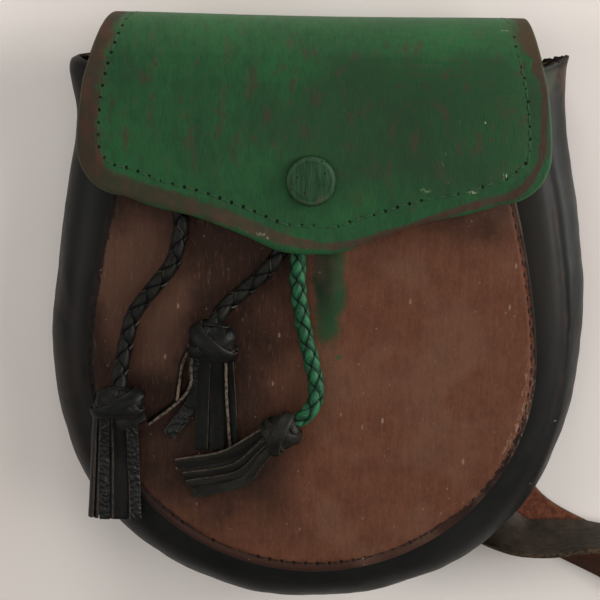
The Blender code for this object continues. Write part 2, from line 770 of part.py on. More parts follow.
def make_strap(collection):
    points, rolls = [], []
    for x, y, lift, roll in smooth_rows(STRAP_ROUTE, STRAP_STEP):
        roll = min(max(roll, -180.0), 0.0)
        turn = radians(roll)
        half_height = abs(sin(turn)) * STRAP_WIDTH / 2 + abs(cos(turn)) * STRAP_THICK / 2
        points.append(Vector((x, y, max(lift, 0.0) + half_height)))
        rolls.append(roll)
    sections = with_directions(points, rolls)
    return ribbon("strap", collection, sections, STRAP_WIDTH, STRAP_THICK, STRAP_LEATHER)


def main():
    clear_scene()
    pouch = new_collection("sporran pouch")
    cutters = new_collection("cutters")
    make_front_panel(pouch, cutters)
    make_back_panel(pouch)
    make_gusset(pouch)
    make_flap(pouch, cutters)
    make_snap_stud(pouch)
    make_snap_base(pouch)
    make_braids(pouch)
    for side in HEADS:
        make_tassel(side, pouch, cutters)
    make_strap(pouch)


main()
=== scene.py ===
"""The looks of a leather sporran pouch that lies on its back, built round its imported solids.

Sizes are in millimetres here and become metres in the meshes. Each sheet of leather is a fine grid of
points that repeats the shape of its solid, and gets its thickness from a Solidify modifier. Grids carry
named values, such as the distance to the cut edge, that the materials read.
"""

from collections import namedtuple
from math import copysign, cos, hypot, pi, radians, sin

import bmesh
import bpy
import numpy as np
from mathutils import Matrix, Vector, noise


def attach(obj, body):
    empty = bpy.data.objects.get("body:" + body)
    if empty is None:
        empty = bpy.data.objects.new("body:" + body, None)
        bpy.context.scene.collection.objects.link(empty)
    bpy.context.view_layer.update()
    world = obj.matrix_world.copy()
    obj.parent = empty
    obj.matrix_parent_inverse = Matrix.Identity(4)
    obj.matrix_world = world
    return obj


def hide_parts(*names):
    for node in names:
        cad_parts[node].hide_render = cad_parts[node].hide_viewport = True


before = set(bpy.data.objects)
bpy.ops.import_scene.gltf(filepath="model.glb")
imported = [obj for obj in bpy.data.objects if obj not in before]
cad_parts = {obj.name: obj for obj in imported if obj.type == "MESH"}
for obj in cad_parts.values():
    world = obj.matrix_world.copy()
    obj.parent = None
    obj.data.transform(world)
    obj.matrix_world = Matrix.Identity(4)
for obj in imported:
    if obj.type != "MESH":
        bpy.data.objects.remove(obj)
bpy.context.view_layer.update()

MM = 0.001
GAP = 0.3  # clearance between pieces that touch
UP = Vector((0, 0, 1))

# Camera, from the photograph's perspective
CAMERA_PLACE = (46.27, 119.36, 788.93)
CAMERA_RIGHT = (0.99741, 0.01741, -0.06976)
CAMERA_UP = (-0.02697, 0.98999, -0.13850)
CAMERA_LENS = 125.0
CAMERA_SENSOR = 36.0
CAMERA_NEAR = 0.01

# Studio: the lamps' name, place, size, power and colour
LAMPS = (
    ("lamp_window", (1250, 400, 400), 560, 16.5, (1.0, 0.99, 0.97)),
    ("lamp_north", (-200, 1500, 900), 700, 7.0, (1.0, 0.98, 0.95)),
    ("lamp_above", (0, -100, 2000), 1200, 5.0, (1.0, 0.98, 0.96)),
    ("lamp_right", (1400, 0, 1300), 900, 9.5, (1.0, 0.98, 0.96)),
    ("lamp_left", (-1400, 100, 1200), 900, 8.0, (1.0, 0.98, 0.96)),
)
WORLD_GREY = (0.24, 0.237, 0.232)
FLOOR_Z = -0.5
FLOOR_REACH = 1800
FLOOR_POINTS = 13

# Leather
PANEL_THICK = 2.5
PANEL_WAVE = 0.12  # half the height of its unevenness
GUSSET_THICK = 1.6
FLAP_THICK = 2.8
FLAP_WAVE = 0.2
STRAP_THICK = 2.5
STRAP_WIDTH = 17.5

# Meshes
CURVE_STEPS = 24  # between two given points of a smooth curve
POINTS_AT_ONCE = 2000  # when distances to a line are measured
WELD_REACH = 0.01
BEVEL_ANGLE = 50.0

# Heights above the table
BACK_Z = STRAP_THICK + GAP
FRONT_Z = 42.5
FRONT_TOP = FRONT_Z + PANEL_THICK
FRONT_DOME = 1.5
DOME_HALF_WIDTH = 82.0
DOME_HALF_HEIGHT = 88.0
SAG_NEAR = 26.0
SAG_FAR = 56.0
STRAP_DIAGONAL = Vector((0.8, 0.6))

# Outlines seen from the front
Outline = namedtuple(
    "Outline", "half_width widest_y bottom_y roundness mouth_half mouth_y taper waist mouth_bow"
)
FRONT_EDGE = Outline(82.0, -8.0, -87.0, 2.0, 60.0, 92.0, 1.65, 0.0, 1.0)
BULGE_EDGE = Outline(98.0, 5.0, -101.0, 2.2, 91.0, 99.5, 1.3, 3.6, 0.0)
BACK_EDGE = Outline(84.0, -2.0, -89.0, 2.0, 79.0, 101.0, 1.6, 0.0, 1.0)
ARCH_SHARE = 0.57
WAIST_AT = 0.8
OUTLINE_STEPS = 320
MOUTH_STEPS = 56
STATIONS = [2 * i / OUTLINE_STEPS - 1 for i in range(OUTLINE_STEPS + 1)]

# Rings of a panel's grid, as distances from its edge where the outline is 85 from the middle
EDGE_RINGS = (0, 0.4, 0.9, 1.5, 2.1, 2.5, 2.8, 3.1, 3.4, 3.8, 4.4, 5.2, 6.3, 7.7, 9.5)
PANEL_REACH = 85.0
PANEL_RING_STEP = 2.3

# Gusset section
SEAM_WIDTH = 7.0
FRONT_SEAM_STEPS = 4
BACK_SEAM_STEPS = 3
GUSSET_MID_Z = 23.5
SHOULDER_STEPS = 26
HEEL_STEPS = 18
BULGE_ROUNDNESS = 2.1
CREASE_DEPTH = 1.7
CREASE_ANGLE = 0.4 * pi / 2
CREASE_SPREAD = 0.11
CREASE_LOW = 0.35
CREASE_HIGH = 0.95

# How far the wall stands outside its plain outline, at stations from -1 to 1
GUSSET_SHIFTS = (
    (-1.0, 3.0), (-0.97, 2.9), (-0.94, 1.7), (-0.91, -0.7), (-0.86, -1.2), (-0.82, -0.9), (-0.72, -2.0),
    (-0.6, -1.2), (-0.53, 0.0), (-0.45, 0.8), (-0.35, 2.0), (-0.2, 0.4), (0.0, 0.0), (0.13, -1.3),
    (0.22, 0.2), (0.5, 0.5), (0.6, 1.3), (0.95, 1.2), (1.0, -0.3),
)
SHIFT_BLUR = 9  # stations over which the shifts are evened out
EAR_RISE = 2.6  # the right end of the mouth stands this much higher
EAR_FROM = 0.93
ROLL_FROM = 0.970
ROLL_IN = 5.5  # the left end of the mouth rolls inwards that far
LIP_TILT = 4.0  # the mouth is that much higher at the back panel than at the front
TORN_FROM = 0.985
WIDE_DENT = 0.7  # heights of the soft dents, wide and fine
FINE_DENT = 0.25
WIDE_TEAR = 0.9
FINE_TEAR = 0.5

# Flap
FLAP_TOP_Z = 55.2
FLAP_TAIL_Z = BACK_Z + PANEL_THICK + GAP
FLAP_MIDDLE_Z = (FLAP_TOP_Z + FLAP_TAIL_Z) / 2
FOLD_RADIUS = (FLAP_TOP_Z - FLAP_TAIL_Z) / 2
FOLD_LENGTH = pi * FOLD_RADIUS
FOLD_TOP_Y = 116.6
FOLD_Y = FOLD_TOP_Y - FOLD_RADIUS
TAIL_Y = 72.0
FLAP_HALF_AT_FOLD = 82.6
FLAP_HALF_AT_TAIL = 66.0
FLAP_NARROWING = 1.05
FLAP_SIDE_DROP = 4.0
FOLD_SAG = 1.0  # the fold lies this much lower in its middle
FLAP_CORNER_RADIUS = 17.5
FLAP_HALF_WIDTH = 84.6
FLAP_CORNER_Y = 68.5
CORNER_SHARE = 8 / 13
FLAP_EDGE = ((0.0, 31.7), (11.0, 32.6), (23.0, 37.6), (40.0, 43.8), (56.0, 47.4), (67.1, 51.0))
FLAP_COLUMNS = 150
FLAP_ROWS = 120
BORDER_STEPS = 300
FLAP_LENGTH = FOLD_Y + FOLD_LENGTH + FOLD_Y - TAIL_Y  # where the unrolled tail ends

# Seams: distance of the stitches from the cut edge, and of the holes from each other
FLAP_INSET_X = (-84.0, -66.0, -36.0, 0.0, 30.0, 84.0)
FLAP_INSET = (7.7, 9.7, 9.2, 10.2, 8.3, 7.0)
CORNER_INSETS = ((-79.0, 56.0, 1.8), (79.0, 56.0, 2.6))  # x, y and how much more
CORNER_REACH = 13.0
INSET_BLUR = 15
PANEL_INSET = 3.1  # from the edge to the seam at the bottom
SIDE_INSET = 1.9  # the same at the sides
SIDE_FROM = 0.15  # the station where the seam starts to run nearer to the edge
SIDE_OVER = 0.3
STITCH_PITCH = 4.4
STITCH_END = 0.55  # a stitch stops this far short of its holes' middles
STITCH_STEPS = 6
STITCH_SIDES = 8
STITCH_DIP = 0.55
STITCH_TIP = 0.12  # thickness of its ends, before rounding
FLAP_STITCHES = (6, 130)  # the first hole with a thread, and the last
PANEL_STITCHES = (3, 140)
FLAP_THREAD = 0.2  # radius
FRONT_THREAD = 0.26
BACK_THREAD = 0.4
THREAD_SINK = 0.35

# The worn band of the flap's border: x and length of a line on the unrolled flap, and its half width
WEAR_LINE = (
    (-74.6, 140.0, 7.2), (-78.6, 112.0, 6.4), (-81.0, 85.0, 5.0), (-81.2, 70.0, 5.0), (-77.6, 59.6, 5.0),
    (-70.0, 54.4, 4.4), (-60.0, 52.4, 3.6), (-42.0, 47.6, 3.0), (-24.0, 42.0, 2.6), (-8.0, 36.6, 2.0),
    (4.0, 35.0, 1.4), (14.0, 35.6, 1.6), (30.0, 40.8, 1.2), (45.0, 46.3, 1.2), (60.0, 51.3, 1.5),
    (70.4, 54.0, 1.7), (76.4, 58.6, 1.5), (80.4, 66.5, 1.2), (81.4, 76.0, 1.2), (81.2, 88.0, 1.2),
    (80.4, 97.0, 2.4), (79.0, 106.0, 4.2), (76.6, 114.0, 6.0), (74.5, 140.0, 6.4),
)

# Painted glints on the flap's paint, as pale flecks: x, length, half sizes and strength
FLAP_GLINTS = (
    (68.3, 61.2, 0.6, 1.0, 0.9), (57.0, 55.2, 1.2, 0.4, 0.7), (60.8, 80.0, 0.3, 0.5, 0.8),
    (-17.6, 38.6, 1.6, 0.5, 0.5), (-15.2, 37.6, 0.8, 0.6, 0.5), (40.5, 55.5, 1.6, 0.7, 0.35),
    (66.8, 116.6, 1.4, 0.3, 0.45),
)

# Press stud: radius and depth of its outline, below the cap's top and below the socket's top
STUD_Y = 58.0
STUD_SIDES = 96
CAP_TOP = FLAP_TOP_Z + GAP + 2.6
CAP_OUTLINE = (
    (0.05, 0.0), (3.0, 0.02), (5.6, 0.08), (6.5, 0.16), (6.8, 0.24), (7.1, 0.26), (7.4, 0.26), (7.9, 0.36),
    (8.4, 0.66), (8.8, 1.15), (9.0, 1.7), (8.9, 2.3), (8.5, 2.6), (2.2, 2.6),
)
SOCKET_TOP = FLAP_TOP_Z - FLAP_THICK - GAP
SOCKET_OUTLINE = ((2.2, 0.0), (5.4, 0.0), (5.5, 0.3), (5.5, 2.2), (5.2, 2.4), (0.05, 2.4))

# Braids
BRAID_RADIUS = 2.6
BRAID_PROUD = 0.5  # how far the strands stand out of the plain cord
BRAID_STEP = 0.8
# How a braid is made: strands that turn each way, length in which a strand goes once round, and the
# angle that turns its rows of diamonds to the top
Weave = namedtuple("Weave", "ways turn view")
WEAVES = {"left": Weave(2, 19.0, 45.0), "middle": Weave(2, 19.0, 45.0), "right": Weave(3, 24.9, 8.0)}
STRAND_ACROSS = 8
STRAND_RIDE = 0.5  # how far a strand rises over and dips under the others
STRAND_SHARE = 0.86  # of the space that a strand has
STRAND_WANDER = 0.10
STRAND_THICK = 0.9
STRAND_CURVE = 0.30  # how far a strand's sides lie below its middle
CORE_RADIUS = 1.9  # of the dark inside
CORE_SIDES = 16
# Routes: x, y and how far the middle line stands above where it would lie on the front panel
BRAID_ROUTES = {
    "left": (
        (-48.7, 63.4, -8.2), (-48.4, 57.6, -2.6), (-48.0, 52.0, 0.0), (-47.4, 46.0, 0.1), (-46.9, 39.4, 0.1),
        (-48.0, 33.3, 0.1), (-50.1, 26.3, 0.1), (-54.7, 20.0, 0.1), (-59.4, 14.1, 0.1), (-63.8, 7.7, 0.1),
        (-65.9, 0.7, 0.1), (-67.3, -6.3, 0.6), (-68.3, -13.4, 2.4), (-68.7, -20.5, 3.4),
    ),
    "middle": (
        (-9.5, 50.0, -8.2), (-9.2, 44.2, -2.6), (-9.3, 38.8, 0.0), (-10.8, 32.8, 0.1), (-14.2, 27.0, 0.1),
        (-18.9, 21.8, 0.1), (-24.2, 17.2, 0.3), (-29.6, 12.4, 1.4), (-33.4, 7.2, 3.0), (-34.6, 3.0, 3.6),
    ),
    "right": (
        (-2.5, 50.0, -8.2), (-3.1, 44.2, -2.6), (-3.6, 38.6, 0.0), (-4.2, 32.2, 0.1), (-4.6, 25.6, 0.1),
        (-4.4, 19.0, 0.1), (-3.5, 12.4, 0.1), (-2.2, 4.8, 0.1), (-0.2, -3.2, 0.1), (1.8, -11.2, 0.1),
        (2.9, -18.6, 0.6), (1.2, -25.0, 2.2), (-4.4, -29.6, 3.2),
    ),
}
HOLE_HALF_WIDTH = 3.6
HOLE_HALF_LENGTH = 8.6
HOLE_CENTRE_POINT = 1
HOLE_SHIFT_Y = 1.2
HOLE_SIDES = 24
HOLE_REACH = (FRONT_Z - 8, FRONT_Z + 10)

# Tassels
STRIP_THICK = 1.2
STRIP_STEP = 1.6
STRIP_ACROSS = 6
STRIP_CUP = 0.16  # how far a strip's sides lie below its middle
FALL_PLACE = 0.38
FALL_DEPTH = 0.4
Head = namedtuple("Head", "x y across along thick turn")
HEADS = {
    "left": Head(-68.6, -24.4, 10.0, 6.8, 6.0, 0.0),
    "middle": Head(-34.8, -0.8, 9.5, 7.9, 6.2, 0.0),
    "right": Head(-9.2, -33.4, 7.2, 7.5, 6.0, -58.0),
}
Strip = namedtuple(
    "Strip", "root_x root_y mid_x mid_y tip_x tip_y width mid_rise tip_rise roll pebbled", defaults=(False,)
)
STRIPS = {
    "left": (
        (-73.6, -26.0, -74.2, -46.0, -74.6, -68.0, 6.8, 0.5, 0.4, 0.0),
        (-66.6, -26.0, -67.0, -46.0, -66.6, -68.2, 6.8, 0.5, 0.4, 0.0),
        (-77.4, -25.5, -78.8, -46.0, -79.7, -68.6, 3.0, 1.9, 1.7, 58.0),
        (-76.0, -25.8, -77.3, -46.0, -78.0, -68.9, 3.0, 1.6, 1.4, 52.0),
        (-74.2, -26.0, -74.7, -46.0, -74.5, -69.3, 4.0, 2.1, 1.6, 0.0, True),
        (-71.8, -26.0, -72.1, -46.0, -72.2, -69.0, 2.6, 1.7, 1.4, 48.0),
        (-69.2, -26.0, -69.0, -46.0, -68.8, -69.2, 5.8, 1.7, 1.3, 0.0),
        (-66.6, -26.0, -65.9, -46.0, -65.4, -69.0, 2.4, 1.9, 1.6, 58.0),
        (-64.4, -26.0, -63.9, -46.0, -63.0, -68.8, 4.4, 2.4, 1.7, -6.0, True),
        (-59.6, -28.2, -64.2, -30.4, -69.4, -33.2, 5.0, 7.6, 6.2, 12.0),
    ),
    "middle": (
        (-37.2, -3.0, -37.4, -22.0, -38.0, -39.4, 6.4, 0.5, 0.4, 0.0),
        (-32.0, -3.0, -31.6, -22.0, -31.6, -40.2, 5.6, 0.5, 0.4, 0.0),
        (-43.2, -2.6, -46.6, -11.0, -48.3, -23.6, 3.4, 2.3, 2.2, 74.0),
        (-41.8, -3.0, -44.8, -20.5, -58.6, -32.6, 3.4, 2.2, 2.1, 72.0),
        (-40.4, -3.5, -42.4, -24.0, -51.0, -37.0, 5.0, 1.3, 1.1, 0.0, True),
        (-40.0, -3.0, -41.8, -15.0, -42.4, -27.0, 4.0, 2.8, 1.8, 8.0),
        (-37.6, -3.0, -38.4, -22.0, -39.0, -42.0, 4.8, 2.6, 1.3, 4.0),
        (-33.0, -3.0, -33.0, -22.0, -33.0, -42.8, 5.2, 2.4, 0.9, 0.0),
        (-30.6, -3.0, -30.2, -23.0, -28.8, -42.2, 3.4, 3.0, 1.9, 66.0),
        (-29.2, -3.0, -28.2, -23.0, -27.2, -41.4, 3.6, 1.3, 0.7, 4.0),
    ),
    "right": (
        (-11.0, -34.0, -27.0, -46.4, -45.0, -52.0, 6.0, 0.5, 0.4, 0.0),
        (-12.0, -36.0, -26.0, -49.6, -42.0, -57.0, 6.0, 0.5, 0.4, 0.0),
        (-10.5, -31.0, -30.4, -43.4, -47.8, -47.2, 4.8, 3.6, 3.1, -34.0),
        (-10.5, -34.4, -27.4, -48.2, -45.6, -52.1, 3.4, 1.9, 1.6, -24.0),
        (-11.0, -36.8, -25.8, -50.9, -44.2, -55.0, 3.2, 1.7, 1.3, -16.0),
        (-12.0, -38.8, -24.0, -53.5, -41.6, -58.5, 3.6, 1.6, 1.2, 10.0),
    ),
}
# The lace wound round a head: direction of each loop's axis in the head's own frame, where x is
# across, y towards the braid and z up; its latitude and half width in degrees, and its level
Band = namedtuple("Band", "x y z latitude half level")
BANDS = {
    "left": (
        (0.0, 1.0, 0.1, -36.0, 19.0, -0.02),
        (0.70, 0.70, 0.15, 6.0, 17.0, 0.02),
        (-0.62, 0.78, 0.1, 2.0, 17.0, 0.12),
        (0.1, 1.0, -0.2, 56.0, 13.0, 0.00),
        (0.95, 0.30, 0.0, 28.0, 15.0, -0.04),
        (-0.95, 0.30, 0.0, 28.0, 15.0, -0.04),
    ),
    "middle": (
        (0.05, 1.0, 0.1, -40.0, 20.0, -0.02),
        (0.72, 0.66, 0.2, 4.0, 18.0, 0.12),
        (-0.5, 0.86, 0.2, 0.0, 17.0, 0.02),
        (0.0, 1.0, -0.2, 56.0, 14.0, 0.00),
        (0.95, 0.30, 0.0, 30.0, 15.0, -0.04),
        (-0.95, 0.25, 0.0, 30.0, 15.0, -0.04),
    ),
    "right": (
        (0.0, 1.0, 0.0, -38.0, 19.0, -0.02),
        (0.80, 0.60, 0.1, 0.0, 18.0, 0.12),
        (-0.55, 0.82, 0.2, 8.0, 17.0, 0.03),
        (0.1, 1.0, 0.1, 54.0, 14.0, 0.00),
        (-0.95, 0.30, 0.0, 28.0, 15.0, -0.03),
    ),
}
BAND_THICK = 1.3
BAND_WIDTH = 6.0
BAND_LENGTH = 50.0
BAND_STEPS = 72
BAND_ACROSS = 8
CORE_SHARE = 0.88
HEAD_FULLNESS = 0.6
HEAD_RINGS = 16
HEAD_SIDES = 32

# Strap: x and y of its middle line, height under its lowest edge, and roll in degrees
STRAP_ROUTE = (
    (-57.0, 82.0, 0.0, 0.0), (-29.0, 41.0, 0.0, 0.0), (0.0, 0.0, 0.0, 0.0), (27.0, -39.0, 0.0, 0.0),
    (43.0, -61.0, 0.0, 0.0), (51.0, -68.0, 0.0, 0.0), (58.5, -72.3, 0.0, 0.0), (65.0, -74.6, 1.9, -12.0),
    (71.5, -77.0, 2.9, -30.0), (80.0, -79.9, 3.0, -52.0), (90.0, -80.1, 3.1, -54.0),
    (101.0, -79.0, 3.1, -61.0), (110.0, -78.9, 3.1, -71.0), (124.0, -79.2, 2.6, -82.0),
    (142.0, -79.0, 0.6, -88.0), (162.0, -78.6, 0.0, -90.0), (188.0, -79.0, 0.0, -90.0),
    (216.0, -80.5, 0.0, -90.0), (244.0, -83.0, 0.0, -90.0), (268.0, -90.0, 0.0, -90.0),
    (280.0, -104.0, 0.0, -90.0), (274.0, -121.0, 0.0, -90.0), (254.0, -130.0, 0.0, -90.0),
    (226.0, -130.0, 0.0, -90.0), (198.0, -124.6, 0.0, -104.0), (170.0, -115.0, 0.0, -140.0),
    (143.0, -103.6, 0.0, -172.0), (115.5, -89.4, 0.0, -180.0), (87.3, -75.6, 0.0, -180.0),
    (74.6, -62.6, 0.0, -180.0), (65.0, -43.4, 0.0, -180.0), (59.0, -18.0, 0.0, -180.0),
    (55.0, 10.0, 0.0, -180.0), (55.0, 45.0, 0.0, -180.0), (57.0, 82.0, 0.0, -180.0),
)
STRAP_STEP = 1.8
STRAP_ACROSS = 12

LIGHT = 0.95  # share of a flat surface's own colour that reaches the camera


# ---------------------------------------------------------------- curves and outlines


def clamp(value, low=0.0, high=1.0):
    return min(max(value, low), high)


def smooth_step(value):
    value = clamp(value)
    return value * value * (3 - 2 * value)


def evened(values, width):
    """Each value as the mean of those around it."""
    return np.convolve(np.pad(values, width // 2, mode="edge"), np.ones(width) / width, mode="valid")


def smooth_rows(rows, step):
    """Rows read at even steps from a smooth curve through the given rows, whatever their columns."""
    rows = np.array(rows, float)
    padded = np.vstack((2 * rows[0] - rows[1], rows, 2 * rows[-1] - rows[-2]))
    dense = []
    for a, b, c, d in zip(padded, padded[1:], padded[2:], padded[3:]):
        for t in np.linspace(0, 1, CURVE_STEPS, endpoint=False):
            dense.append(
                0.5 * (2 * b + (c - a) * t + (2 * a - 5 * b + 4 * c - d) * t**2)
                + 0.5 * (3 * b - a - 3 * c + d) * t**3
            )
    dense = np.array(dense + [rows[-1]])
    along = line_lengths(dense[:, :2])
    stations = np.linspace(0, along[-1], max(2, round(along[-1] / step) + 1))
    return np.array([np.interp(stations, along, column) for column in dense.T]).T


def line_lengths(line):
    """Length from a line's start to each of its points."""
    return np.concatenate(([0], np.cumsum(np.linalg.norm(np.diff(line, axis=0), axis=1))))


def nearest_on_line(points, line):
    """For each flat point: how far the line is, and the length along the line to the nearest place."""
    start, span = line[:-1], np.diff(line, axis=0)
    lengths = line_lengths(line)
    squared = (span**2).sum(1)
    distance, along = [], []
    for block in np.array_split(points, max(1, len(points) // POINTS_AT_ONCE)):
        offset = block[:, None] - start[None]
        t = np.clip((offset * span).sum(2) / squared, 0, 1)
        away = np.linalg.norm(offset - t[..., None] * span, axis=2)
        best = away.argmin(1)
        row = np.arange(len(block))
        distance.append(away[row, best])
        along.append(lengths[best] + t[row, best] * np.sqrt(squared[best]))
    return np.concatenate(distance), np.concatenate(along)


def direction(line, i):
    """Unit vector along a line of vectors at one of its points."""
    return (line[min(i + 1, len(line) - 1)] - line[max(i - 1, 0)]).normalized()


def front_top(x, y):
    """Height of the front panel's upper face."""
    share = 1 - (x / DOME_HALF_WIDTH) ** 2 - (y / DOME_HALF_HEIGHT) ** 2
    return FRONT_TOP + FRONT_DOME * max(share, 0.0)


def back_under(x, y):
    """Height of the back panel's lower face, which sags to the table beside the strap."""
    distance = -(STRAP_DIAGONAL.x * x + STRAP_DIAGONAL.y * y)
    return BACK_Z * (1 - smooth_step((distance - SAG_NEAR) / (SAG_FAR - SAG_NEAR)))


def waist_shape(climb):
    return climb**4 * (1 - climb)


def edge_point(outline, s):
    """A point of the outline: s is 0 at the bottom and runs to 1 and -1 at the mouth's corners."""
    share = abs(s)
    if share < ARCH_SHARE:
        angle = share / ARCH_SHARE * pi / 2
        power = 2 / outline.roundness
        x = outline.half_width * sin(angle) ** power
        y = outline.widest_y - (outline.widest_y - outline.bottom_y) * cos(angle) ** power
    else:
        climb = (share - ARCH_SHARE) / (1 - ARCH_SHARE)
        x = outline.half_width - (outline.half_width - outline.mouth_half) * climb**outline.taper
        x -= outline.waist * waist_shape(climb) / waist_shape(WAIST_AT)
        y = outline.widest_y + climb * (outline.mouth_y - outline.widest_y)
    return Vector((copysign(x, s), y))


def inward(outline, s):
    """Unit vector from the outline into the panel."""
    span = 0.01
    before = edge_point(outline, max(s - span, -1.0))
    after = edge_point(outline, min(s + span, 1.0))
    along = (after - before).normalized()
    return Vector((-along.y, along.x))


def panel_seam(outline):
    """The seam of a panel, which runs nearer to the edge at the sides than at the bottom."""
    points = []
    for s in STATIONS:
        inset = PANEL_INSET + (SIDE_INSET - PANEL_INSET) * smooth_step((abs(s) - SIDE_FROM) / SIDE_OVER)
        points.append(edge_point(outline, s) + inward(outline, s) * inset)
    return np.array(points)


def closed_outline(outline):
    """The whole edge of a panel: round the bottom from left to right, then back along the mouth."""
    points = [edge_point(outline, s) for s in STATIONS]
    for i in range(1, MOUTH_STEPS):
        across = 1 - 2 * i / MOUTH_STEPS
        bow = outline.mouth_bow * (1 - across**2)
        points.append(Vector((across * outline.mouth_half, outline.mouth_y + bow)))
    return points


# ---------------------------------------------------------------- meshes


def put(name, data):
    """An object in the scene."""
    thing = bpy.data.objects.new(name, data)
    bpy.context.scene.collection.objects.link(thing)
    return thing


def grid_object(name, points, values, closed=False, flip=False):
    """A sheet from a grid of points in millimetres, with named grids of numbers or vectors."""
    rows, columns = points.shape[:2]
    index = np.arange(rows * columns).reshape(rows, columns)
    if closed:
        index = np.hstack((index, index[:, :1]))
    corners = [index[:-1, :-1], index[1:, :-1], index[1:, 1:], index[:-1, 1:]]
    if flip:
        corners.reverse()
    faces = np.stack(corners, -1).reshape(-1, 4).tolist()
    mesh = bpy.data.meshes.new(name)
    mesh.from_pydata((points.reshape(-1, 3) * MM).tolist(), [], faces)
    for key, value in values.items():
        store(mesh, key, value)
    mesh.shade_smooth()
    return put(name, mesh)


def store(mesh, key, value):
    """Keeps a number or a vector for each point of the mesh."""
    value = np.asarray(value, np.float32).ravel()
    kind, field = "FLOAT", "value"
    if len(value) == 3 * len(mesh.vertices):
        kind, field = "FLOAT_VECTOR", "vector"
    mesh.attributes.new(key, kind, "POINT").data.foreach_set(field, value)


def crossed(rows, columns):
    """Two grids that repeat one list down the rows and the other along the columns."""
    return np.meshgrid(rows, columns, indexing="ij")


def flat_grid(u, v):
    """The places of a grid's points on the flat leather, for the materials."""
    return np.stack((u, v, np.zeros_like(u)), -1)


def ribbon_values(count, steps, width, pitch, shift=0.0):
    """Values of a ribbon's grid: where it lies flat, and how far from its middle each point is."""
    lengths, sides = crossed(np.arange(count) * pitch, np.linspace(-1, 1, steps + 1))
    return {"flat": flat_grid(sides * width / 2 + shift, lengths), "side": np.abs(sides)}


def ribbon_points(middles, rolls, steps, width, height):
    """Outer face of a ribbon. height(middle, side) is how far it stands off the middle line."""
    rows = []
    for i, (middle, roll) in enumerate(zip(middles, rolls)):
        along = direction(middles, i)
        left = Vector((-along.y, along.x, 0)).normalized()
        up = along.cross(left)
        across = left * cos(roll) + up * sin(roll)
        face = up * cos(roll) - left * sin(roll)
        sides = [2 * j / steps - 1 for j in range(steps + 1)]
        rows.append([middle + across * side * width / 2 + face * height(middle, side) for side in sides])
    return np.array(rows)


def sheet_values(flat, border, seam_line):
    """Values of a sheet's grid: how far its edge and its seam are, and where it lies flat."""
    edge, _ = nearest_on_line(flat, border)
    seam, along = nearest_on_line(flat, seam_line)
    return {"edge": edge, "seam": seam, "along": along, "flat": flat_grid(flat[:, 0], flat[:, 1])}


def sunk(values, groove, reach, rounding):
    """How deep a sheet's face lies in the groove of its seam and at its rounded cut edge."""
    in_groove = np.clip(1 - values["seam"] / reach, 0, 1)
    return groove * in_groove + rounding * np.clip(1 - values["edge"], 0, 1) ** 2


def apply_modifiers(thing):
    bpy.context.view_layer.update()
    depsgraph = bpy.context.evaluated_depsgraph_get()
    evaluated = thing.evaluated_get(depsgraph)
    mesh = bpy.data.meshes.new_from_object(
        evaluated, preserve_all_data_layers=True, depsgraph=depsgraph
    )
    thing.modifiers.clear()
    thing.data = mesh


def thicken(thing, thickness, materials, bevel=0.35, even=True):
    """Gives the sheet its thickness. The materials are for its face, its back and its cut edge."""
    for material in materials:
        thing.data.materials.append(material)
    solid = thing.modifiers.new("thickness", "SOLIDIFY")
    solid.thickness = thickness * MM
    solid.offset = -1.0
    solid.use_even_offset = even
    solid.material_offset = 1
    solid.material_offset_rim = 2
    if bevel:
        rounding = thing.modifiers.new("rounding", "BEVEL")
        rounding.width = bevel * MM
        rounding.segments = 2
        rounding.limit_method = "ANGLE"
        rounding.angle_limit = radians(BEVEL_ANGLE)
    apply_modifiers(thing)
    return thing


def weld(thing):
    """Joins the points that lie on each other."""
    mesh = bmesh.new()
    mesh.from_mesh(thing.data)
    bmesh.ops.remove_doubles(mesh, verts=mesh.verts, dist=WELD_REACH * MM)
    mesh.to_mesh(thing.data)
    mesh.free()


def close_ends(thing):
    """Fills the open ends of a tube."""
    mesh = bmesh.new()
    mesh.from_mesh(thing.data)
    bmesh.ops.holes_fill(mesh, edges=[edge for edge in mesh.edges if edge.is_boundary])
    bmesh.ops.recalc_face_normals(mesh, faces=mesh.faces)
    mesh.to_mesh(thing.data)
    mesh.free()


def join(name, things):
    """One object from several."""
    bpy.ops.object.select_all(action="DESELECT")
    for thing in things:
        thing.select_set(True)
    bpy.context.view_layer.objects.active = things[0]
    bpy.ops.object.join()
    things[0].name = name
    things[0].data.name = name
    return things[0]


def ready(thing, slot, *nodes):
    """Puts a finished piece on the body and hides the solids that it stands for; the finish's name, slot, is
    not used.
    """
    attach(thing, "root")
    if nodes:
        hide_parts(*nodes)
    return thing


def wobble(x, y, z=0.0, scale=0.05):
    """Smooth noise between about -1 and 1."""
    return noise.noise(Vector((x * scale, y * scale, z * scale)))


# ---------------------------------------------------------------- material graphs


def linear(value):
    value = value / 255
    return value / 12.92 if value <= 0.04045 else ((value + 0.055) / 1.055) ** 2.4


def seen(colour):
    """The colour of leather that looks like this sRGB colour under the studio light."""
    return tuple(min(linear(value) / LIGHT, 0.95) for value in colour)


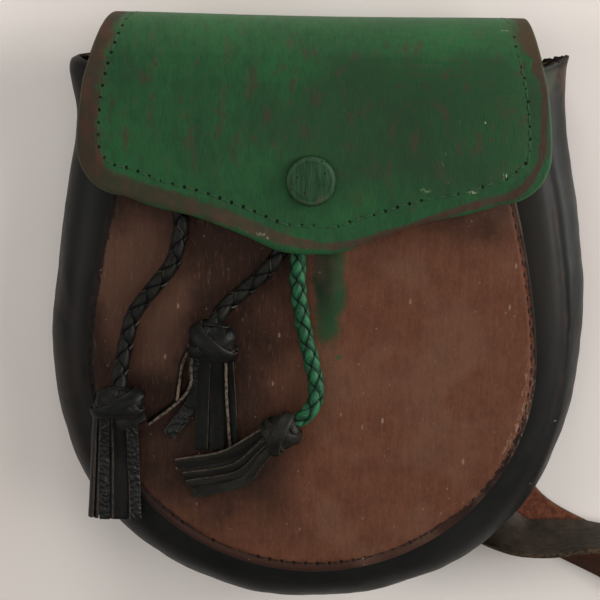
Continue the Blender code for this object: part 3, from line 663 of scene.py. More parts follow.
class Field:
    """A number at each place of a material. Arithmetic with it adds nodes to the material's graph."""

    def __init__(self, graph, socket):
        self.graph = graph
        self.socket = socket

    def math(self, operation, other=0.0):
        return self.graph.math(operation, self, other)

    def __add__(self, other):
        return self.math("ADD", other)

    def __mul__(self, other):
        return self.math("MULTIPLY", other)

    def __sub__(self, other):
        return self.math("SUBTRACT", other)

    def __rsub__(self, other):
        return self.graph.math("SUBTRACT", other, self)

    def __truediv__(self, other):
        return self.math("DIVIDE", other)

    def __abs__(self):
        return self.math("ABSOLUTE")

    def root(self):
        return self.math("SQRT")

    def highest(self, other):
        return self.math("MAXIMUM", other)

    def step(self, low, high):
        """Smoothly 0 at low and 1 at high, whichever of them is larger."""
        inputs = {"Value": self, "From Min": low, "From Max": high}
        return self.graph.field("ShaderNodeMapRange", inputs, {"interpolation_type": "SMOOTHSTEP"})

    def within(self, middle, half, soft):
        """1 within half of the middle, fading out over soft."""
        return abs(self - middle).step(half + soft, half)


class Graph:
    """The nodes of one material, with its colour and its relief so far.

    Patterns are read from the places in space, or with flat from those on the flat leather. Their scales
    are for millimetres, and stretch multiplies the x, y and z that they are read at.
    """

    def __init__(self, name, roughness=0.55, specular=0.2, flat=False):
        self.material = bpy.data.materials.new(name)
        self.material.use_nodes = True
        self.tree = self.material.node_tree
        self.shader = self.tree.nodes["Principled BSDF"]
        self.shader.inputs["Roughness"].default_value = roughness
        self.shader.inputs["Specular IOR Level"].default_value = specular
        self.colour = None
        self.normal = None
        if flat:
            self.where = self.add("ShaderNodeAttribute", {}, {"attribute_name": "flat"}).outputs["Vector"]
        else:
            place = self.add("ShaderNodeTexCoord").outputs["Object"]
            inputs = {0: place, "Scale": 1 / MM}
            self.where = self.add("ShaderNodeVectorMath", inputs, {"operation": "SCALE"}).outputs[0]

    def add(self, kind, inputs=None, settings=None):
        node = self.tree.nodes.new(kind)
        for key, value in (settings or {}).items():
            setattr(node, key, value)
        for key, value in (inputs or {}).items():
            self.feed(node.inputs[key], value)
        return node

    def feed(self, socket, value):
        if isinstance(value, Field):
            value = value.socket
        if isinstance(value, bpy.types.NodeSocket):
            self.tree.links.new(value, socket)
        elif isinstance(value, tuple) and len(value) == 3 and socket.type == "RGBA":
            socket.default_value = (*value, 1.0)
        else:
            socket.default_value = value

    def field(self, kind, inputs=None, settings=None, output=0):
        return Field(self, self.add(kind, inputs, settings).outputs[output])

    def value(self, name):
        """One of the values that the grid carries."""
        return self.field("ShaderNodeAttribute", {}, {"attribute_name": name}, "Fac")

    def split(self):
        """The x, y and z of a place."""
        node = self.add("ShaderNodeSeparateXYZ", {0: self.where})
        return [Field(self, output) for output in node.outputs]

    def stretched(self, stretch):
        if stretch is None:
            return self.where
        inputs = {0: self.where, 1: stretch}
        return self.add("ShaderNodeVectorMath", inputs, {"operation": "MULTIPLY"}).outputs[0]

    def noise(self, scale, stretch=None, detail=3.0, roughness=0.55, distortion=0.0):
        inputs = {"Vector": self.stretched(stretch), "Scale": scale, "Detail": detail}
        inputs.update({"Roughness": roughness, "Distortion": distortion})
        return self.field("ShaderNodeTexNoise", inputs)

    def cells(self, scale, stretch=None, feature="F1"):
        """Distance from the middles of scattered cells, or from their borders."""
        inputs = {"Vector": self.stretched(stretch), "Scale": scale}
        return self.field("ShaderNodeTexVoronoi", inputs, {"feature": feature}, "Distance")

    def math(self, operation, a, b=0.0):
        return self.field("ShaderNodeMath", {0: a, 1: b}, {"operation": operation})

    def blob(self, x, y, half_x, half_y, ragged=0.35, scale=0.08):
        """A ragged spot round a place, 1 in its middle and 0 outside."""
        px, py, _ = self.split()
        dx, dy = (px - x) / half_x, (py - y) / half_y
        away = (dx * dx + dy * dy).root() + self.noise(scale, detail=4) * (ragged * 2)
        return away.step(1.0 + ragged, 0.55 + ragged)

    def mix(self, mask, a, b):
        """One ready colour where the mask is 0 and the other where it is 1."""
        return self.add("ShaderNodeMix", {0: mask, 6: a, 7: b}, {"data_type": "RGBA"}).outputs[2]

    def between(self, mask, a, b):
        """The same for colours that are given as they look in the photograph's light."""
        a, b = (seen(colour) if isinstance(colour, tuple) else colour for colour in (a, b))
        return self.mix(mask, a, b)

    def base(self, mask, dark, light):
        """Starts the surface's colour."""
        self.colour = self.between(mask, dark, light)

    def coat(self, mask, colour):
        """Lays a colour over the surface as far as the mask says."""
        self.colour = self.between(mask, self.colour, colour)

    def relief(self, height, depth):
        """Adds relief of that depth in millimetres for a height from 0 to 1."""
        inputs = {"Height": height, "Distance": depth * MM, "Strength": 1.0}
        if self.normal is not None:
            inputs["Normal"] = self.normal
        self.normal = self.add("ShaderNodeBump", inputs).outputs[0]

    def grain(self, scale, depth):
        """Pebbled skin: cells with rounded tops, and a finer noise on them."""
        self.relief(self.cells(scale, feature="DISTANCE_TO_EDGE").step(0.0, 0.25), depth)
        self.relief(self.noise(scale * 2.5, detail=2.0), depth * 0.5)

    def stitch_holes(self):
        """1 in the holes of the seam that the grid's seam and along values describe."""
        across = self.value("seam")
        beside = self.value("along").math("PINGPONG", STITCH_PITCH / 2)
        away = (across * across + beside * beside).root()
        uneven = (self.noise(0.7, detail=2.0) - 0.5) * 0.7
        return (away + uneven).step(0.75, 0.45)

    def done(self, roughness=None):
        self.feed(self.shader.inputs["Base Color"], self.colour)
        if roughness is not None:
            self.feed(self.shader.inputs["Roughness"], roughness)
        if self.normal is not None:
            self.feed(self.shader.inputs["Normal"], self.normal)
        return self.material


# ---------------------------------------------------------------- materials


def leather(name, dark, light, size, depth, streak):
    """Grained leather whose colour wanders between two."""
    g = Graph(name, flat=True)
    cloud = g.noise(0.06, detail=5.0, roughness=0.65)
    lines = g.noise(0.9, streak, detail=4.0)
    g.base((cloud * 0.6 + lines * 0.4).step(0.36, 0.66), dark, light)
    g.grain(size, depth)
    return g.done(g.noise(0.3) * 0.25 + 0.43)


def suede(name, dark, light):
    """The rough flesh side: short fibres in soft clumps."""
    g = Graph(name, 0.9, 0.15, flat=True)
    clumps = g.noise(0.35, detail=6.0, roughness=0.7)
    g.base(clumps.step(0.35, 0.65), dark, light)
    g.relief(g.noise(2.4, (1, 0.5, 1), detail=4.0), 0.16)
    g.relief(clumps, 0.25)
    return g.done()


def strap_suede():
    """The strap's rust flesh side, with the standing strap's shadow painted dark where it lies furthest out.
    """
    g = Graph("strap_suede", 0.9, 0.15)
    _, y, _ = g.split()
    clumps = g.noise(0.5, detail=6.0, roughness=0.7)
    g.base(clumps.step(0.35, 0.65), (80, 44, 31), (110, 66, 47))
    # Painted shadow of the standing part of the strap.
    g.coat((y + clumps * 6.0).step(-78.0, -88.0) * 0.85, (40, 28, 22))
    g.relief(g.noise(2.4, detail=4.0), 0.16)
    g.relief(clumps, 0.12)
    return g.done()


def cut_edge(name, dark, light):
    """The raw cut through the leather: layers and small pits."""
    g = Graph(name, 0.8, 0.2)
    layers = g.noise(1.6, (0.4, 0.4, 1.6), detail=4.0)
    g.base(layers.step(0.38, 0.62), dark, light)
    g.relief(layers, 0.15)
    return g.done()


def flap_paint():
    """Green paint brushed over brown leather, worn through in a band along the border."""
    g = Graph("flap_paint", 0.5, 0.10, flat=True)
    x, v, _ = g.split()
    streaks = g.noise(0.26, (1, 0.40, 1), detail=6.0, roughness=0.7)
    fine = g.noise(1.4, (1, 0.16, 1))
    cross = g.noise(0.32, (0.22, 1, 1), detail=6.0, roughness=0.7)
    cloud = g.noise(0.03, (1, 0.7, 1), detail=5.0, roughness=0.6, distortion=0.4)
    corner = x.step(5.0, 40.0) * v.step(74.0, 94.0)
    strokes = streaks + (cross - streaks) * corner
    tone = (strokes * 0.35 + fine * 0.2 + cloud * 0.45).step(0.34, 0.68)
    g.base(tone, (30, 58, 36), (34, 84, 46))
    g.coat(g.blob(36.0, 80.0, 70.0, 32.0, 0.7, 0.04) * (strokes * 0.6 + 0.2), (34, 50, 33))

    # Thin paint over the brown, and a painted highlight high on the fold, where it turns to the light
    dabs = g.noise(0.2, (1, 0.45, 1), detail=5.0, roughness=0.66)
    thin = dabs.step(0.54, 0.63) * 0.8 + strokes.step(0.55, 0.60) * 0.4
    g.coat(thin * (v.step(50.0, 90.0) * 0.4 + 0.38), (58, 49, 37))
    high = v.step(98.0, 124.0) * (fine * 0.5 + 0.5)
    g.coat(high * 0.8, g.between(tone, (52, 84, 54), (56, 108, 66)))

    # Worn band along the border, mixed with green
    edge = g.value("edge")
    patchy = g.noise(0.16, detail=5.0, roughness=0.65)
    band = (g.value("wear") + (patchy - 0.5) * 1.9).step(1.3, 0.6)
    red = g.noise(0.20, (1, 0.5, 1), detail=6.0, roughness=0.7).step(0.42, 0.60)
    brown = g.between(x.step(-20.0, 50.0), (74, 48, 40), (62, 38, 32))
    brown = g.between(red, (58, 48, 38), brown)
    brown = g.between(v.step(96.0, 112.0) * x.step(40.0, 60.0) * 0.8, brown, (72, 58, 43))
    low = v.step(66.0, 54.0) * x.step(26.0, 8.0)
    band = band * (0.95 - low * 0.15)
    g.coat(band, brown)
    low_left = x.step(-20.0, -44.0) * v.step(92.0, 76.0)
    border = edge.step(8.0, 6.0) * x.step(62.0, 72.0).highest(low_left)
    g.coat(border * 0.22, (12, 16, 11))
    # A painted highlight along the cut edge at the sides, where the edge catches the light.
    g.coat(edge.step(0.8, 0.2) * abs(x).step(66.0, 80.0) * 0.4, (74, 90, 70))

    # Thread, holes darkened with painted shade, and pale flecks painted as glints
    away = g.value("seam") + (g.noise(0.9) - 0.5) * 0.6
    g.coat(away.step(0.5, 0.2) * g.noise(0.06).step(0.5, 0.56) * 0.5, (70, 84, 64))
    # The holes are darkened with painted shade.
    holes = g.stitch_holes() * (g.noise(0.5) - x.step(10.0, 50.0) * 0.12).step(0.30, 0.42)
    g.coat(holes, (6, 12, 8))
    broken = g.noise(1.3, (1, 0.5, 1), detail=4.0, roughness=0.7).step(0.46, 0.56)
    for glint_x, glint_v, half_x, half_v, strength in FLAP_GLINTS:
        spot = g.blob(glint_x, glint_v, half_x * 1.5, half_v * 1.5, 0.6, 0.9)
        g.coat(spot * broken * strength, (150, 154, 122))
    marks = g.cells(0.45, (1, 0.25, 1)).step(0.10, 0.03)
    g.coat(marks * g.noise(0.07).step(0.52, 0.60) * 0.35, (98, 128, 96))

    g.grain(1.3, 0.03)
    g.relief(strokes, 0.30)
    g.relief(fine, 0.06)
    g.relief(holes * -1.0, 0.5)
    return g.done(fine * 0.2 + band * 0.1 + 0.38)


def panel_paint():
    """Brown leather, blotchy and scratched, with painted shade under the flap, dark at the left, and a green
    stain.
    """
    g = Graph("panel_leather", 0.55, 0.10, flat=True)
    x, y, _ = g.split()
    blotches = g.noise(0.10, detail=8.0, roughness=0.75)
    streaks = g.noise(0.55, (1, 0.16, 1), detail=5.0, roughness=0.65)
    fine = g.noise(1.6, (1, 0.3, 1))
    cloud = g.noise(0.018, detail=5.0, roughness=0.6, distortion=0.3)
    tone = (blotches * 0.35 + streaks * 0.3 + fine * 0.25 + cloud * 0.1).step(0.36, 0.64)
    g.base(tone, (76, 45, 32), (97, 61, 44))
    # Painted shade under the flap; at the left, darker leather together with painted shade round the
    # tassels.
    drift = (cloud - 0.5) * 60.0
    left = (x + drift).step(10.0, -24.0) * (y + drift).step(-92.0, -52.0)
    shade = left.highest((y + drift).step(32.0, 58.0))
    g.coat(shade * 0.9, g.between(tone, (22, 15, 11), (45, 28, 20)))
    worn = g.blob(-62.0, 16.0, 24.0, 36.0, 0.6, 0.03) * (streaks * 0.5 + 0.5)
    g.coat(worn * 0.85, (88, 61, 48))
    brushed = g.noise(0.8, (1, 0.2, 1), detail=5.0, roughness=0.7).step(0.54, 0.70)
    g.coat(brushed * x.step(16.0, -20.0) * y.step(-60.0, -10.0) * 0.30, (112, 82, 66))

    # The green stain and its drop, with the green braid's shadow painted dark over its left part
    stain = g.blob(6.5, 26.0, 7.5, 36.0, 0.45, 0.10)
    braid_shadow = y.step(-2.0, 20.0) * x.step(11.0, 5.0)
    g.coat(stain * (streaks * 0.5 + 0.68), g.between(braid_shadow, (28, 62, 36), (15, 34, 21)))
    g.coat(g.blob(10.5, -6.5, 1.3, 1.1, 0.2, 0.5), (30, 66, 38))

    # The border: a dark cut edge, wider and redder at the bottom, widened at the left and the lower right by
    # painted shade in the gap to the gusset, and scuffed pale at the right
    edge = g.value("edge")
    bottom = y.step(-56.0, -74.0)
    rubbed = g.noise(0.3, detail=5.0).step(0.44, 0.64)
    raw = g.between(bottom * 0.8, g.between(rubbed, (14, 12, 11), (26, 20, 17)), (52, 32, 26))
    lower_right = x.step(30.0, 50.0) * y.step(-24.0, -44.0) * y.step(-84.0, -74.0)
    reach = bottom * 1.9 + rubbed * 0.7 + x.step(-30.0, -54.0) * 1.5 + lower_right * 0.9 + 0.9
    g.coat((edge - reach).step(0.4, -0.4) * 0.94, raw)
    # Painted shade in the seam's groove at the bottom and in its stitch holes.
    g.coat(edge.within(PANEL_INSET, 0.15, 0.5) * bottom * 0.5, (20, 13, 10))
    holes = g.stitch_holes() * g.noise(0.05).step(0.42, 0.50) * (bottom * 0.7 + 0.2)
    g.coat(holes, (8, 6, 5))
    scuffed = g.blob(76.0, -26.0, 14.0, 26.0, 0.3) * edge.within(2.2, 0.8, 2.2)
    rub = g.noise(0.8, (1, 0.4, 1), detail=5.0, roughness=0.7).step(0.50, 0.62)
    g.coat(scuffed * rub * 0.55, (146, 120, 106))

    # Pale specks, scratches and haze
    specks = g.cells(0.24).step(0.10, 0.04) * g.noise(0.06).step(0.46, 0.56)
    scratches = g.cells(0.16, (1, 0.45, 1)).step(0.10, 0.05) * g.noise(0.09).step(0.48, 0.54)
    g.coat(specks.highest(scratches) * 0.55, (142, 118, 100))
    marks = g.cells(0.22, (1, 0.3, 1)).step(0.09, 0.03) * g.blob(26.0, -20.0, 46.0, 50.0, 0.5, 0.05)
    g.coat(marks * g.noise(0.12).step(0.48, 0.56) * 0.6, (138, 112, 94))
    g.coat(g.noise(0.03).step(0.46, 0.62) * x.step(-20.0, 10.0) * 0.26, (106, 80, 64))

    g.grain(1.5, 0.03)
    g.relief(blotches, 0.25)
    g.relief(streaks, 0.05)
    g.relief(holes * -1.0, 0.5)
    return g.done(blotches * 0.4 + 0.32)


def gusset_paint():
    """Smooth black leather, scuffed, greyed where it bulges by dust and a painted sheen, worn through at the
    right ear.
    """
    g = Graph("gusset_leather", 0.42, 0.13, flat=True)
    s = g.value("station")
    section = g.value("section")
    cloud = g.noise(0.05, (1, 0.35, 1), detail=5.0, roughness=0.65)
    g.base(cloud.step(0.32, 0.68), (13, 13, 13), (25, 25, 23))
    scuffs = g.noise(0.16, (1, 0.3, 1), detail=6.0, roughness=0.7).step(0.62, 0.74)
    g.coat(scuffs * 0.4, (76, 72, 66))
    # Grey on the right wall's bulge: partly dust, partly a painted sheen where it reflects the light from
    # the right.
    bulge = section.within(0.52, 0.16, 0.10) * s.step(0.46, 0.70) * (s.step(0.88, 0.76) * 0.7 + 0.3)
    dust_and_sheen = g.noise(0.06, (1, 0.3, 1), detail=4.0).step(0.25, 0.60)
    g.coat(bulge * dust_and_sheen * 0.45, (58, 60, 59))
    g.coat(section.step(0.32, 0.24) * s.step(0.52, 0.68) * 0.55, (30, 25, 20))
    patches = g.noise(0.05, detail=4.0).step(0.36, 0.56)
    g.coat(s.step(-0.26, -0.40) * s.step(-0.80, -0.62) * patches * 0.6, (33, 27, 23))
    # Pale scratches, which also stand in as painted glints.
    scratches = g.cells(0.14, (0.4, 1, 1)).step(0.06, 0.02) * g.noise(0.04).step(0.50, 0.56)
    g.coat(scratches * 0.6, (146, 138, 126))

    # The crease on the shoulder, the right ear with its smear of green, and the mouth's rim
    crease = g.value("crease").step(0.5, 1.0) * g.noise(0.07).step(0.46, 0.56)
    g.coat(crease * 0.4, (62, 34, 28))
    ear = s.step(0.945, 0.97) * g.noise(0.2, detail=6.0, roughness=0.7).step(0.36, 0.54)
    g.coat(ear * 0.75, (64, 47, 37))
    g.coat(s.step(0.955, 0.975) * section.within(0.33, 0.04, 0.06) * 0.5, (40, 62, 44))
    g.coat(abs(s).step(0.986, 0.994) * 0.85, (14, 13, 12))

    g.grain(1.6, 0.012)
    g.relief(g.noise(0.10, (1, 0.3, 1), detail=4.0), 0.3)
    return g.done(cloud * 0.2 + scuffs * 0.2 + 0.36)


def stud_paint():
    """Greyed green paint, brushed up and down, with dark pits, a rubbed rim and painted shade round its
    edge.
    """
    g = Graph("stud_paint", 0.5, 0.10)
    x, y, _ = g.split()
    streaks = g.noise(1.1, (1, 0.10, 1), detail=5.0, roughness=0.65)
    g.base(streaks.step(0.34, 0.66), (24, 46, 29), (38, 70, 45))
    beside = y - STUD_Y
    away = (x * x + beside * beside).root()
    g.coat(away.within(7.9, 0.35, 0.5) * 0.25, (66, 88, 66))
    g.coat(away.within(6.9, 0.15, 0.35) * 0.15, (22, 38, 26))
    pits = g.cells(0.30).step(0.16, 0.06)
    g.coat(pits * 0.7, (16, 26, 18))
    low = y.step(STUD_Y - 2.0, STUD_Y - 8.0) * g.noise(0.3, detail=4.0).step(0.45, 0.6)
    g.coat(low * 0.6, (70, 58, 44))
    # Painted shade round the cap's edge.
    g.coat(away.step(8.7, 9.0) * 0.8, (20, 32, 22))
    g.relief(streaks, 0.35)
    g.relief(pits * -1.0, 0.3)
    return g.done(streaks * 0.25 + 0.3)


def strand_leather(name, dark, light, crevice_shade, pale, paleness):
    """Thong of a braid: painted shade towards its sides and where it dives under the others, with a thin
    pale line at one side.
    """
    g = Graph(name, 0.42, 0.12, flat=True)
    side = g.value("side")
    tone = g.noise(0.35, (1, 0.4, 1), detail=5.0, roughness=0.65)
    g.base(tone.step(0.34, 0.62), dark, light)
    # Painted shade towards the sides and where the thong dives under the others.
    g.coat(abs(side).step(0.3, 1.0) * 0.7, crevice_shade)
    g.coat(side.within(0.93, 0.04, 0.05) * g.noise(0.16).step(0.44, 0.56) * paleness, pale)
    g.coat(g.value("ride").step(0.40, -0.25), crevice_shade)
    g.grain(1.2, 0.03)
    g.relief(tone, 0.12)
    return g.done(tone * 0.2 + 0.32)


def lace(name, dark, light, pebbles, shine):
    """Black lace of the tassels, smooth or pebbled, with a thin pale line at its cut sides."""
    g = Graph(name, 0.42, shine, flat=True)
    tone = g.noise(0.25, (1, 0.2, 1), detail=5.0)
    g.base(tone.step(0.34, 0.66), dark, light)
    line = g.value("side").step(0.88, 0.98) * g.noise(0.15).step(0.44, 0.58)
    g.coat(line * 0.6, (82, 72, 62))
    g.relief(g.cells(0.75, feature="SMOOTH_F1").step(0.7, 0.1), pebbles)
    g.relief(g.noise(1.8), 0.06)
    return g.done(tone * 0.2 + 0.3)


def thread(name, dark, light):
    """Twisted thread."""
    g = Graph(name, 0.7, 0.2)
    twist = g.noise(2.5, detail=2.0)
    g.base(twist.step(0.4, 0.6), dark, light)
    g.relief(twist, 0.1)
    return g.done()


def brass():
    g = Graph("snap_metal", 0.4, 0.5)
    g.shader.inputs["Metallic"].default_value = 1.0
    spots = g.noise(0.8, detail=5.0)
    g.colour = g.mix(spots.step(0.4, 0.6), (0.16, 0.12, 0.07), (0.42, 0.33, 0.18))
    g.relief(spots, 0.04)
    return g.done(spots * 0.3 + 0.25)


def floor_cloth():
    """Smooth pale backdrop."""
    g = Graph("floor", 0.9, 0.1)
    soft = g.noise(0.006, detail=2.0)
    g.colour = g.mix(soft.step(0.3, 0.7), (0.74, 0.68, 0.64), (0.80, 0.75, 0.71))
    return g.done()


# ---------------------------------------------------------------- stage


def make_camera():
    right, up = Vector(CAMERA_RIGHT), Vector(CAMERA_UP)
    turn = Matrix((right, up, right.cross(up))).transposed().to_4x4()
    camera = put("camera", bpy.data.cameras.new("camera"))
    camera.matrix_world = Matrix.Translation(Vector(CAMERA_PLACE) * MM) @ turn
    camera.data.lens = CAMERA_LENS
    camera.data.sensor_width = CAMERA_SENSOR
    camera.data.clip_start = CAMERA_NEAR
    bpy.context.scene.camera = camera


def make_lights():
    for name, place, size, power, colour in LAMPS:
        data = bpy.data.lights.new(name, "AREA")
        data.size = size * MM
        data.energy = power
        data.color = colour
        light = put(name, data)
        light.location = Vector(place) * MM
        light.rotation_euler = (-Vector(place)).to_track_quat("-Z", "Y").to_euler()
    world = bpy.data.worlds.new("studio")
    world.use_nodes = True
    world.node_tree.nodes["Background"].inputs[0].default_value = (*WORLD_GREY, 1.0)
    bpy.context.scene.world = world
    bpy.context.scene.view_settings.view_transform = "Standard"


def make_floor():
    steps = np.linspace(-FLOOR_REACH, FLOOR_REACH, FLOOR_POINTS)
    x, y = crossed(steps, steps)
    floor = grid_object("floor", np.stack((x, y, np.full_like(x, FLOOR_Z)), -1), {})
    floor.data.materials.append(floor_cloth())


# ---------------------------------------------------------------- braids


def braid_line(side):
    """The braid's middle line as evenly spaced points, and its length."""
    rows = smooth_rows(BRAID_ROUTES[side], BRAID_STEP)
    line = [Vector((x, y, front_top(x, y) + GAP + BRAID_RADIUS + rise)) for x, y, rise in rows]
    length = sum((b - a).length for a, b in zip(line, line[1:]))
    return line, length


def carried_frames(line):
    """Two directions across the line at each point, without twist."""
    frames = []
    side = UP
    for i in range(len(line)):
        along = direction(line, i)
        side = (side - along * side.dot(along)).normalized()
        frames.append((side, along.cross(side)))
    return frames


def strand(name, line, turn, number, weave):
    """One flat thong of a round braid, as a sheet that bends round the braid's middle line.

    turn is 1 or -1. The thong goes over the ones that turn the other way and under them in turn.
    """
    frames = carried_frames(line)
    steps = line_lengths(np.array(line))
    start = 2 * pi * number / weave.ways
    sign = turn if number % 2 == 0 else -turn
    per_length = 2 * pi / weave.turn
    square = 1 / (1 + (BRAID_RADIUS * per_length) ** 2)
    rows, heights = [], []
    for length in steps:
        row = []
        for j in range(STRAND_ACROSS + 1):
            side = 2 * j / STRAND_ACROSS - 1
            # The thong's side lies at a shifted angle and a shifted length, square to its own run
            offset = side * STRAND_SHARE * pi / weave.ways
            offset += STRAND_WANDER * wobble(length, 40 * number, 20 * turn, 0.11)
            at = length - turn * offset * (1 - square) / per_length
            angle = start + turn * length * per_length + offset * square
            other = angle + turn * at * per_length
            ride = STRAND_RIDE * cos(other * weave.ways / 2) * sign
            radius = BRAID_RADIUS + BRAID_PROUD - STRAND_RIDE + ride - STRAND_CURVE * side**2
            place = clamp(at, 0.0, steps[-1]) / steps[-1] * (len(line) - 1)
            k = min(int(place), len(line) - 2)
            up, across = frames[k]
            angle += radians(weave.view)
            middle = line[k].lerp(line[k + 1], place - k)
            row.append(middle + (up * cos(angle) + across * sin(angle)) * radius)
            heights.append(ride / STRAND_RIDE)
        rows.append(row)
    lengths, sides = crossed(steps, np.linspace(-1, 1, STRAND_ACROSS + 1))
    flat = flat_grid(sides * 2 + 9 * start + 30 * turn, lengths)
    values = {"side": sides, "ride": heights, "flat": flat}
    return grid_object(name, np.array(rows), values, flip=True)


def braid_core(name, line, material):
    """The dark inside of a braid."""
    rows = []
    for point, (up, across) in zip(line, carried_frames(line)):
        angles = [2 * pi * j / CORE_SIDES for j in range(CORE_SIDES)]
        rows.append([point + (up * cos(a) + across * sin(a)) * CORE_RADIUS for a in angles])
    points = np.array(rows)
    zeros = np.zeros(points.shape[:2])
    values = {"flat": points, "side": zeros, "ride": zeros}
    core = grid_object(name, points, values, closed=True, flip=True)
    core.data.materials.append(material)
    close_ends(core)
    return core


def make_braid(side, materials):
    line, length = braid_line(side)
    strands = []
    for turn in (1, -1):
        for number in range(WEAVES[side].ways):
            piece = strand(f"strand_{side}_{turn}_{number}", line, turn, number, WEAVES[side])
            strands.append(thicken(piece, STRAND_THICK, materials, bevel=0, even=False))
    strands.append(braid_core(f"core_{side}", line, materials[1]))
    return join(f"braid_{side}_thong", strands), line, length


# ---------------------------------------------------------------- tassels


def head_place(head, way, size):
    """A place on the knot: rounded towards the braid, fuller towards the strips."""
    middle = Vector((head.x, head.y, front_top(head.x, head.y) + GAP + head.thick))
    full = 1.0 if way.y > 0 else max(hypot(way.x, way.z), 0.05) ** -HEAD_FULLNESS
    local = Vector((way.x * head.across * full, way.y * head.along, way.z * head.thick * full))
    return middle + Matrix.Rotation(radians(head.turn), 3, "Z") @ (local * size)


def head_core(name, head, materials):
    """The knot's dark inside."""
    rows = []
    for i in range(HEAD_RINGS + 1):
        latitude = (i / HEAD_RINGS - 0.5) * pi * 0.998
        row = []
        for j in range(HEAD_SIDES):
            angle = 2 * pi * j / HEAD_SIDES
            way = Vector((cos(latitude) * cos(angle), sin(latitude), -cos(latitude) * sin(angle)))
            row.append(head_place(head, way, CORE_SHARE + 0.03 * wobble(*(way * 40))))
        rows.append(row)
    points = np.array(rows)
    values = {"flat": points, "side": np.zeros(points.shape[:2])}
    core = grid_object(name, points, values, closed=True)
    core.data.materials.append(materials[0])
    return core


def head_band(name, head, band, materials):
    """A loop of lace laid round the knot."""
    axis = Vector((band.x, band.y, band.z)).normalized()
    first = axis.cross(UP).normalized()
    second = axis.cross(first)
    outer = 1 + band.level - 0.1 * BAND_THICK / head.thick
    rows = []
    for i in range(BAND_STEPS):
        angle = 2 * pi * i / BAND_STEPS
        row = []
        for j in range(BAND_ACROSS + 1):
            side = 2 * j / BAND_ACROSS - 1
            latitude = radians(band.latitude + band.half * side)
            way = (first * cos(angle) + second * sin(angle)) * cos(latitude) + axis * sin(latitude)
            lift = 0.03 * sin(2 * angle + band.latitude) - 0.03 * side**4
            lift += 0.02 * wobble(*(way * 60))
            row.append(head_place(head, way, outer + lift))
        rows.append(row)
    pitch = BAND_LENGTH / BAND_STEPS
    values = ribbon_values(BAND_STEPS + 1, BAND_ACROSS, BAND_WIDTH, pitch, 400 * band.level)
    piece = grid_object(name, np.array(rows + rows[:1]), values)
    return thicken(piece, BAND_THICK, (materials[0], materials[1], materials[0]), bevel=0.2, even=False)


def strip_line(strip, head):
    """Middle points of a tassel's strip: from the head's middle height down to the front panel."""
    root = Vector((strip.root_x, strip.root_y, head.thick + GAP))
    middle = Vector((strip.mid_x, strip.mid_y, strip.mid_rise))
    tip = Vector((strip.tip_x, strip.tip_y, strip.tip_rise))
    fall = root.lerp(middle, FALL_PLACE)
    fall.z = root.z + (middle.z - root.z) * FALL_DEPTH
    rows = smooth_rows((root, fall, middle, tip), STRIP_STEP)
    return [Vector((x, y, front_top(x, y) + rise)) for x, y, rise in rows]


def make_strip(name, strip, head, materials):
    """A strip of a tassel, cupped a little and wavy along its length."""

    def height(point, side):
        wave = 0.12 * wobble(point.x, point.y, strip.width * 9, 0.16)
        return STRIP_THICK / 2 - STRIP_CUP * side**2 + wave

    line = strip_line(strip, head)
    rolls = [radians(strip.roll)] * len(line)
    points = ribbon_points(line, rolls, STRIP_ACROSS, strip.width, height)
    values = ribbon_values(len(line), STRIP_ACROSS, strip.width, STRIP_STEP, strip.root_x * 3)
    return thicken(grid_object(name, points, values), STRIP_THICK, materials, bevel=0.2)


def make_tassel(side, smooth, pebbled):
    head = HEADS[side]
    parts = [head_core(f"core_{side}", head, smooth)]
    for i, row in enumerate(BANDS[side]):
        parts.append(head_band(f"band_{side}_{i}", head, Band(*row), smooth))
    for i, row in enumerate(STRIPS[side]):
        strip = Strip(*row)
        skin = pebbled if strip.pebbled else smooth
        parts.append(make_strip(f"strip_{side}_{i}", strip, head, skin))
    return join(f"tassel_{side}_fringe", parts)


# ---------------------------------------------------------------- pouch


def panel_rings():
    """Rings of a panel as shares of its outline, dense near the edge."""
    inner = np.arange(EDGE_RINGS[-1] + PANEL_RING_STEP, PANEL_REACH, PANEL_RING_STEP)
    return [1 - distance / PANEL_REACH for distance in (*EDGE_RINGS, *inner)] + [0.0]


def make_panel(name, outline, height, up, materials):
    """A panel as rings from its outline to its middle, with a sewn groove near its edge."""
    edge = closed_outline(outline)
    rings = np.array([[point * ring for point in edge] for ring in panel_rings()])
    flat = rings.reshape(-1, 2)
    values = sheet_values(flat, np.array(edge + edge[:1]), panel_seam(outline))
    waves = np.array([wobble(x, y, 3.0, 0.045) for x, y in flat])
    sink = sunk(values, groove=0.35, reach=1.2, rounding=0.5) + PANEL_WAVE * (waves + 1)
    z = np.array([height(x, y) for x, y in flat]) - (sink if up else -sink)
    points = np.column_stack((flat, z)).reshape(*rings.shape[:2], 3)
    thing = grid_object(name, points, values, closed=True, flip=up)
    weld(thing)
    return thicken(thing, PANEL_THICK, materials)


def cut_holes(panel):
    """The oval holes where the braids go through the front panel."""
    angles = [2 * pi * j / HOLE_SIDES for j in range(HOLE_SIDES)]
    for side, route in BRAID_ROUTES.items():
        x, y, _ = route[HOLE_CENTRE_POINT]
        y += HOLE_SHIFT_Y
        rim = [(x + HOLE_HALF_WIDTH * cos(a), y + HOLE_HALF_LENGTH * sin(a)) for a in angles]
        rows = [[(*point, z) for point in rim] for z in HOLE_REACH]
        cutter = grid_object(f"hole_{side}", np.array(rows), {}, closed=True)
        close_ends(cutter)
        boolean = panel.modifiers.new("hole", "BOOLEAN")
        boolean.object = cutter
        boolean.solver = "EXACT"
        apply_modifiers(panel)
        bpy.data.objects.remove(cutter, do_unlink=True)


def crease_depth(s):
    share = (s - CREASE_LOW) / (CREASE_HIGH - CREASE_LOW)
    return CREASE_DEPTH * sin(pi * share) if 0 < share < 1 else 0.0


